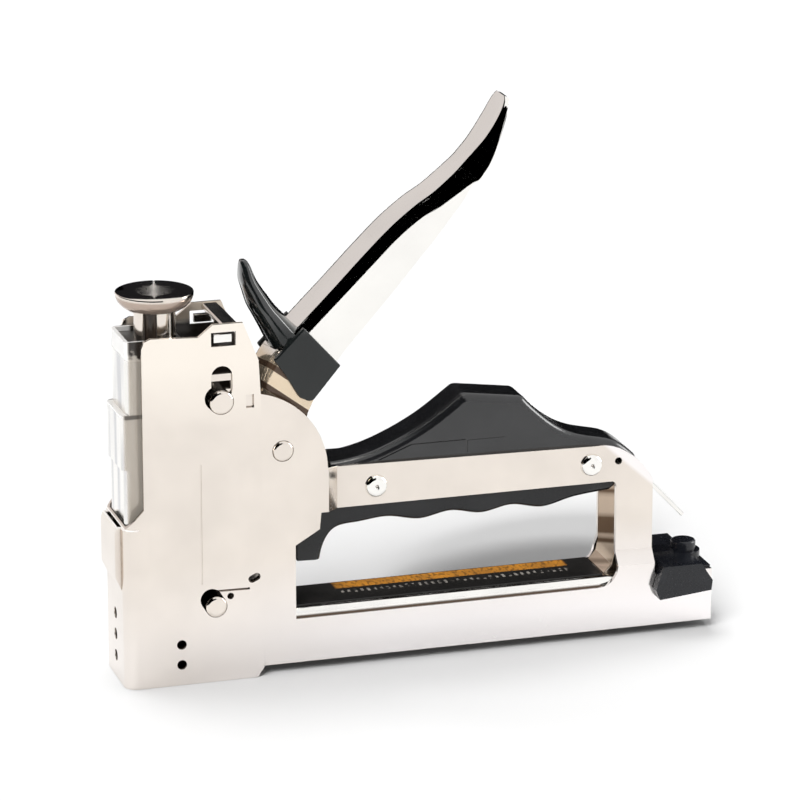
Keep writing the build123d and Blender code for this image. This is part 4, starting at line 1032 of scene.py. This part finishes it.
class STAPLER_OT_pins(bpy.types.Operator):
    """Cross pins of the head and rolled rivets of the rail."""

    bl_idname = "stapler.pins"
    bl_label = "Pins and Rivets"
    bl_options = {"REGISTER", "UNDO"}

    # Across a rivet head: radius, and height over the rail
    head = ((0.0, 0.9), (0.3, 1.0), (0.6, 1.5), (0.8, 1.6), (2.3, 1.6), (2.9, 1.48), (3.35, 1.15), (3.65, 0.6),
            (3.8, 0.0))
    shank = 2.4
    pin_round = 0.8 * MM

    def execute(self, context):
        for name in ("upper_pin", "lower_pin", "pivot_pin"):
            piece = cad_copy(f"plated_{name}", name)
            soften(piece, self.pin_round, 4)
            settle(context, piece, "plated", "frame", "plated_steel", name)
        for name in ("front_rivet", "rear_rivet"):
            low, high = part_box(name)
            middle = (low + high) / 2
            rail = high.y - max(height for radius, height in self.head) * MM
            near = [(radius * MM, -rail - height * MM) for radius, height in self.head]
            neck = [(self.shank * MM, -rail), (self.shank * MM, rail)]
            far = [(radius, -along) for radius, along in reversed(near)]
            piece = lathe(f"plated_{name}", middle, Vector((0.0, 1.0, 0.0)), Vector((1.0, 0.0, 0.0)),
                          near + neck + far, 48)
            take(piece)
            bpy.ops.object.shade_smooth_by_angle(angle=math.radians(40.0))
            settle(context, piece, "bright", "frame", "plated_steel", name)
        return {"FINISHED"}


class STAPLER_OT_grips(bpy.types.Operator):
    """Moulded palm grip and finger grip in the rail."""

    bl_idname = "stapler.grips"
    bl_label = "Grips"
    bl_options = {"REGISTER", "UNDO"}

    def execute(self, context):
        for name in ("palm_grip", "finger_grip"):
            piece = cad_copy(f"moulded_{name}", name)
            soften(piece, context.scene.stapler_sizes.moulded_round, 3)
            settle(context, piece, name, "frame", "black_plastic", name)
        return {"FINISHED"}


class STAPLER_OT_strip(bpy.types.Operator):
    """Film strip with a coloured band on the magazine's top."""

    bl_idname = "stapler.strip"
    bl_label = "Magazine Strip"
    bl_options = {"REGISTER", "UNDO"}

    film_round = 0.12 * MM

    def execute(self, context):
        piece = cad_copy("film_strip", "cover_strip")
        soften(piece, self.film_round)
        settle(context, piece, "film", "frame", "strip_film", "cover_strip")
        return {"FINISHED"}


class STAPLER_OT_pull(bpy.types.Operator):
    """Pull handle at the rear of the magazine, with its latch button and pin."""

    bl_idname = "stapler.pull"
    bl_label = "Pull Handle and Latch"
    bl_options = {"REGISTER", "UNDO"}

    # The finger wings: how deep their front edge is, how far out they start, and how far the edge moves back
    wing_front = 1.0 * MM
    wing_half = 10.5 * MM
    wing_setback = 2.2 * MM
    pull_round = 1.3 * MM
    pin_round = 0.2 * MM

    def execute(self, context):
        for name, body in (("pull_handle", "core"), ("latch_button", "latch")):
            piece = cad_copy(f"moulded_{name}", name)
            if name == "pull_handle":
                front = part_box(name)[0].x + self.wing_front
                edit_where(piece, lambda place: place.x < front and abs(place.y) > self.wing_half)
                bpy.ops.transform.translate(value=(self.wing_setback, 0.0, 0.0))
                close_edit()
            soften(piece, self.pull_round, 4)
            settle(context, piece, "pull", body, "black_plastic", name)
        piece = cad_copy("plated_latch_pin", "latch_pin")
        soften(piece, self.pin_round)
        settle(context, piece, "plated", "core", "plated_steel", "latch_pin")
        return {"FINISHED"}


class STAPLER_OT_inner(bpy.types.Operator):
    """Inner mechanism: finishes for the CAD pieces that stay as they are."""

    bl_idname = "stapler.inner"
    bl_label = "Inner Mechanism"
    bl_options = {"REGISTER", "UNDO"}

    finishes = {"tool_steel": "steel", "spring_steel": "spring", "bush_bronze": "bronze",
                "bumper_rubber": "rubber"}
    own_finishes = {"nose_guide": "guide"}

    def execute(self, context):
        for part in frame["record"]["subparts"]:
            piece = NODES[part["node"]]
            if not piece.hide_render:
                piece.data.materials.clear()
                finish = self.own_finishes.get(part["node"], self.finishes[part["material_slot"]])
                piece.data.materials.append(finish_of(context, finish))
        return {"FINISHED"}


class STAPLER_OT_stage(bpy.types.Operator):
    """Pale floor, soft light, reflection cards and camera."""

    bl_idname = "stapler.stage"
    bl_label = "Studio"
    bl_options = {"REGISTER", "UNDO"}

    # Reflection cards: middle, turn about X and Z in degrees, width and height, and the grey they show
    cards = {
        "front_card": ((-0.75, -2.8, 1.45), (90, 0), (2.5, 2.8), (0.0, 0.0, 0.0)),
        "left_card": ((-2.0, -0.1, 1.75), (90, 90), (5.4, 3.4), (0.0, 0.0, 0.0)),
        "rear_card": ((1.65, 2.0, 0.72), (90, 0), (3.40, 1.46), (0.014, 0.014, 0.016)),
        "rear_grey_card": ((-1.0, 2.0, 0.80), (90, 0), (1.90, 1.6), (0.70, 0.655, 0.64)),
        "slit_card": ((0.40, 1.98, 0.72), (90, 0), (0.0024, 1.4), (1.7, 1.7, 1.7)),
        "rear_low_card": ((-0.07, 1.97, 0.29), (90, 0), (0.64, 0.58), (0.0, 0.0, 0.0)),
        "rear_mat": ((0.0, 1.4, 0.004), (0, 0), (0.7, 1.1), (0.0, 0.0, 0.0)),
        "front_mat": ((-0.75, -2.25, 0.004), (0, 0), (2.5, 1.1), (0.0, 0.0, 0.0)),
        "overhead_card": ((-1.25, -0.4, 1.9), (0, 0), (1.3, 5.2), (0.0, 0.0, 0.0)),
        "spark_card": ((2.0, -0.05, 0.75), (90, 90), (0.8, 1.3), (8.0, 8.0, 8.0)),
        "palm_flag": ((0.04, 0.06, 0.0925), (90, 0), (0.2, 0.065), (0.0, 0.0, 0.0)),
    }
    # A flag that only shadows see, over the floor behind the rail: middle, turn about Z in degrees and size
    flag = ((0.051, 0.062, 0.032), 21.7, (0.108, 0.064))
    key_way = (0.12, -0.28, -0.95)
    fill_way = (0.42, 0.56, -0.71)

    def execute(self, context):
        stage = context.scene.stapler_stage
        self.make_world(context, stage)
        self.make_floor(context, stage)
        self.make_cards()
        self.make_flag()
        self.make_lamp("key_light", stage.key, stage.spread, self.key_way)
        self.make_lamp("fill_light", stage.fill, stage.spread, self.fill_way)
        self.make_camera(context, stage)
        context.scene.view_settings.view_transform = "Standard"
        return {"FINISHED"}

    def show_rays(self, tree):
        """1 for rays that see the white studio: camera, glossy and transmission rays."""
        path = tree.nodes.new("ShaderNodeLightPath")
        seen = math_of(tree, path.outputs["Is Camera Ray"], path.outputs["Is Glossy Ray"], "MAXIMUM")
        return math_of(tree, seen, path.outputs["Is Transmission Ray"], "MAXIMUM")

    def make_world(self, context, stage):
        """A white studio that lights the tool softly."""
        world = bpy.data.worlds.new("White Studio")
        world.use_nodes = True
        tree = world.node_tree
        light = tree.nodes["Background"]
        light.inputs["Color"].default_value = (1.0, 1.0, 1.0, 1.0)
        strength = span_of(tree, self.show_rays(tree), 0.0, 1.0, stage.sky, 1.0)
        link(tree, strength, light.inputs["Strength"])
        context.scene.world = world

    def make_floor(self, context, stage):
        """A pale floor that keeps the tool's shadow."""
        deselect()
        bpy.ops.mesh.primitive_plane_add(size=14.0, location=(0.0, 0.0, -0.1 * MM))
        floor = context.object
        floor.name = "studio_floor"
        material, tree, shader = new_material("Pale Floor")
        shader.inputs["Base Color"].default_value = tuple(context.scene.stapler_colours.floor)
        shader.inputs["Roughness"].default_value = 1.0
        shader.inputs["Specular IOR Level"].default_value = 0.0
        shader.inputs["Emission Color"].default_value = (1.0, 1.0, 1.0, 1.0)
        link(tree, product(tree, self.show_rays(tree), stage.glow), shader.inputs["Emission Strength"])
        floor.data.materials.append(material)

    def make_cards(self):
        """Cards that only reflections see."""
        for name, (place, (tip, turn), (width, height), tone) in self.cards.items():
            deselect()
            bpy.ops.mesh.primitive_plane_add(size=1.0, location=place,
                                             rotation=(math.radians(tip), 0.0, math.radians(turn)))
            card = bpy.context.object
            card.name = name
            card.scale = (width, height, 1.0)
            material, tree, shader = new_material(name.replace("_", " ").title())
            shader.inputs["Base Color"].default_value = (0.0, 0.0, 0.0, 1.0)
            shader.inputs["Specular IOR Level"].default_value = 0.0
            shader.inputs["Emission Color"].default_value = (*tone, 1.0)
            shader.inputs["Emission Strength"].default_value = 1.0
            card.data.materials.append(material)
            card.visible_camera = False
            card.visible_diffuse = False
            card.visible_shadow = False
            card.visible_transmission = False

    def make_flag(self):
        """A flag that keeps some light off the floor seen through the finger gap."""
        place, turn, (width, height) = self.flag
        deselect()
        bpy.ops.mesh.primitive_circle_add(vertices=48, radius=0.5, fill_type="NGON", location=place,
                                          rotation=(0.0, 0.0, math.radians(turn)))
        flag = bpy.context.object
        flag.name = "floor_flag"
        flag.scale = (width, height, 1.0)
        flag.visible_camera = False
        flag.visible_diffuse = False
        flag.visible_glossy = False
        flag.visible_transmission = False

    def make_lamp(self, name, strength, spread, way):
        """A broad lamp that shines along a direction."""
        deselect()
        bpy.ops.object.light_add(type="SUN", location=Vector(way) * -1.5)
        lamp = bpy.context.object
        lamp.name = name
        lamp.data.energy = strength
        lamp.data.angle = spread
        lamp.rotation_euler = Vector(way).to_track_quat("-Z", "Y").to_euler()
        lamp.visible_glossy = False

    def make_camera(self, context, stage):
        """A camera at the photograph's viewing angle."""
        deselect()
        bpy.ops.object.camera_add(location=stage.camera_place)
        camera = context.object
        camera.name = "photo_camera"
        aim = Vector(stage.camera_aim) - Vector(stage.camera_place)
        camera.rotation_euler = aim.to_track_quat("-Z", "Y").to_euler()
        camera.data.lens = stage.lens
        camera.data.sensor_width = 36.0
        camera.data.clip_start = 0.01
        context.scene.camera = camera


class STAPLER_PT_panel(bpy.types.Panel):
    """Buttons and settings of the stapler."""

    bl_idname = "STAPLER_PT_panel"
    bl_label = "Compression Stapler"
    bl_space_type = "VIEW_3D"
    bl_region_type = "UI"
    bl_category = "Stapler"

    def draw(self, context):
        for operator in OPERATORS:
            self.layout.operator(operator.bl_idname)
        for settings in (context.scene.stapler_sizes, context.scene.stapler_colours, context.scene.stapler_stage):
            box = self.layout.box()
            for name in settings.__annotations__:
                box.prop(settings, name)


OPERATORS = (STAPLER_OT_sheet_metal, STAPLER_OT_handle, STAPLER_OT_guard, STAPLER_OT_knob, STAPLER_OT_pins,
             STAPLER_OT_grips, STAPLER_OT_strip, STAPLER_OT_pull, STAPLER_OT_inner, STAPLER_OT_stage)
GROUPS = (StaplerSizes, StaplerColours, StaplerStage)


def register():
    """Register the settings, operators and panel."""
    for cls in (*GROUPS, *OPERATORS, STAPLER_PT_panel):
        bpy.utils.register_class(cls)
    bpy.types.Scene.stapler_sizes = bpy.props.PointerProperty(type=StaplerSizes)
    bpy.types.Scene.stapler_colours = bpy.props.PointerProperty(type=StaplerColours)
    bpy.types.Scene.stapler_stage = bpy.props.PointerProperty(type=StaplerStage)


def unregister():
    """Undo register."""
    del bpy.types.Scene.stapler_stage
    del bpy.types.Scene.stapler_colours
    del bpy.types.Scene.stapler_sizes
    for cls in reversed((*GROUPS, *OPERATORS, STAPLER_PT_panel)):
        bpy.utils.unregister_class(cls)


def main():
    """Make every piece and the studio."""
    register()
    for operator in OPERATORS:
        family, name = operator.bl_idname.split(".")
        getattr(getattr(bpy.ops, family), name)()


if __name__ == "__main__":
    main()
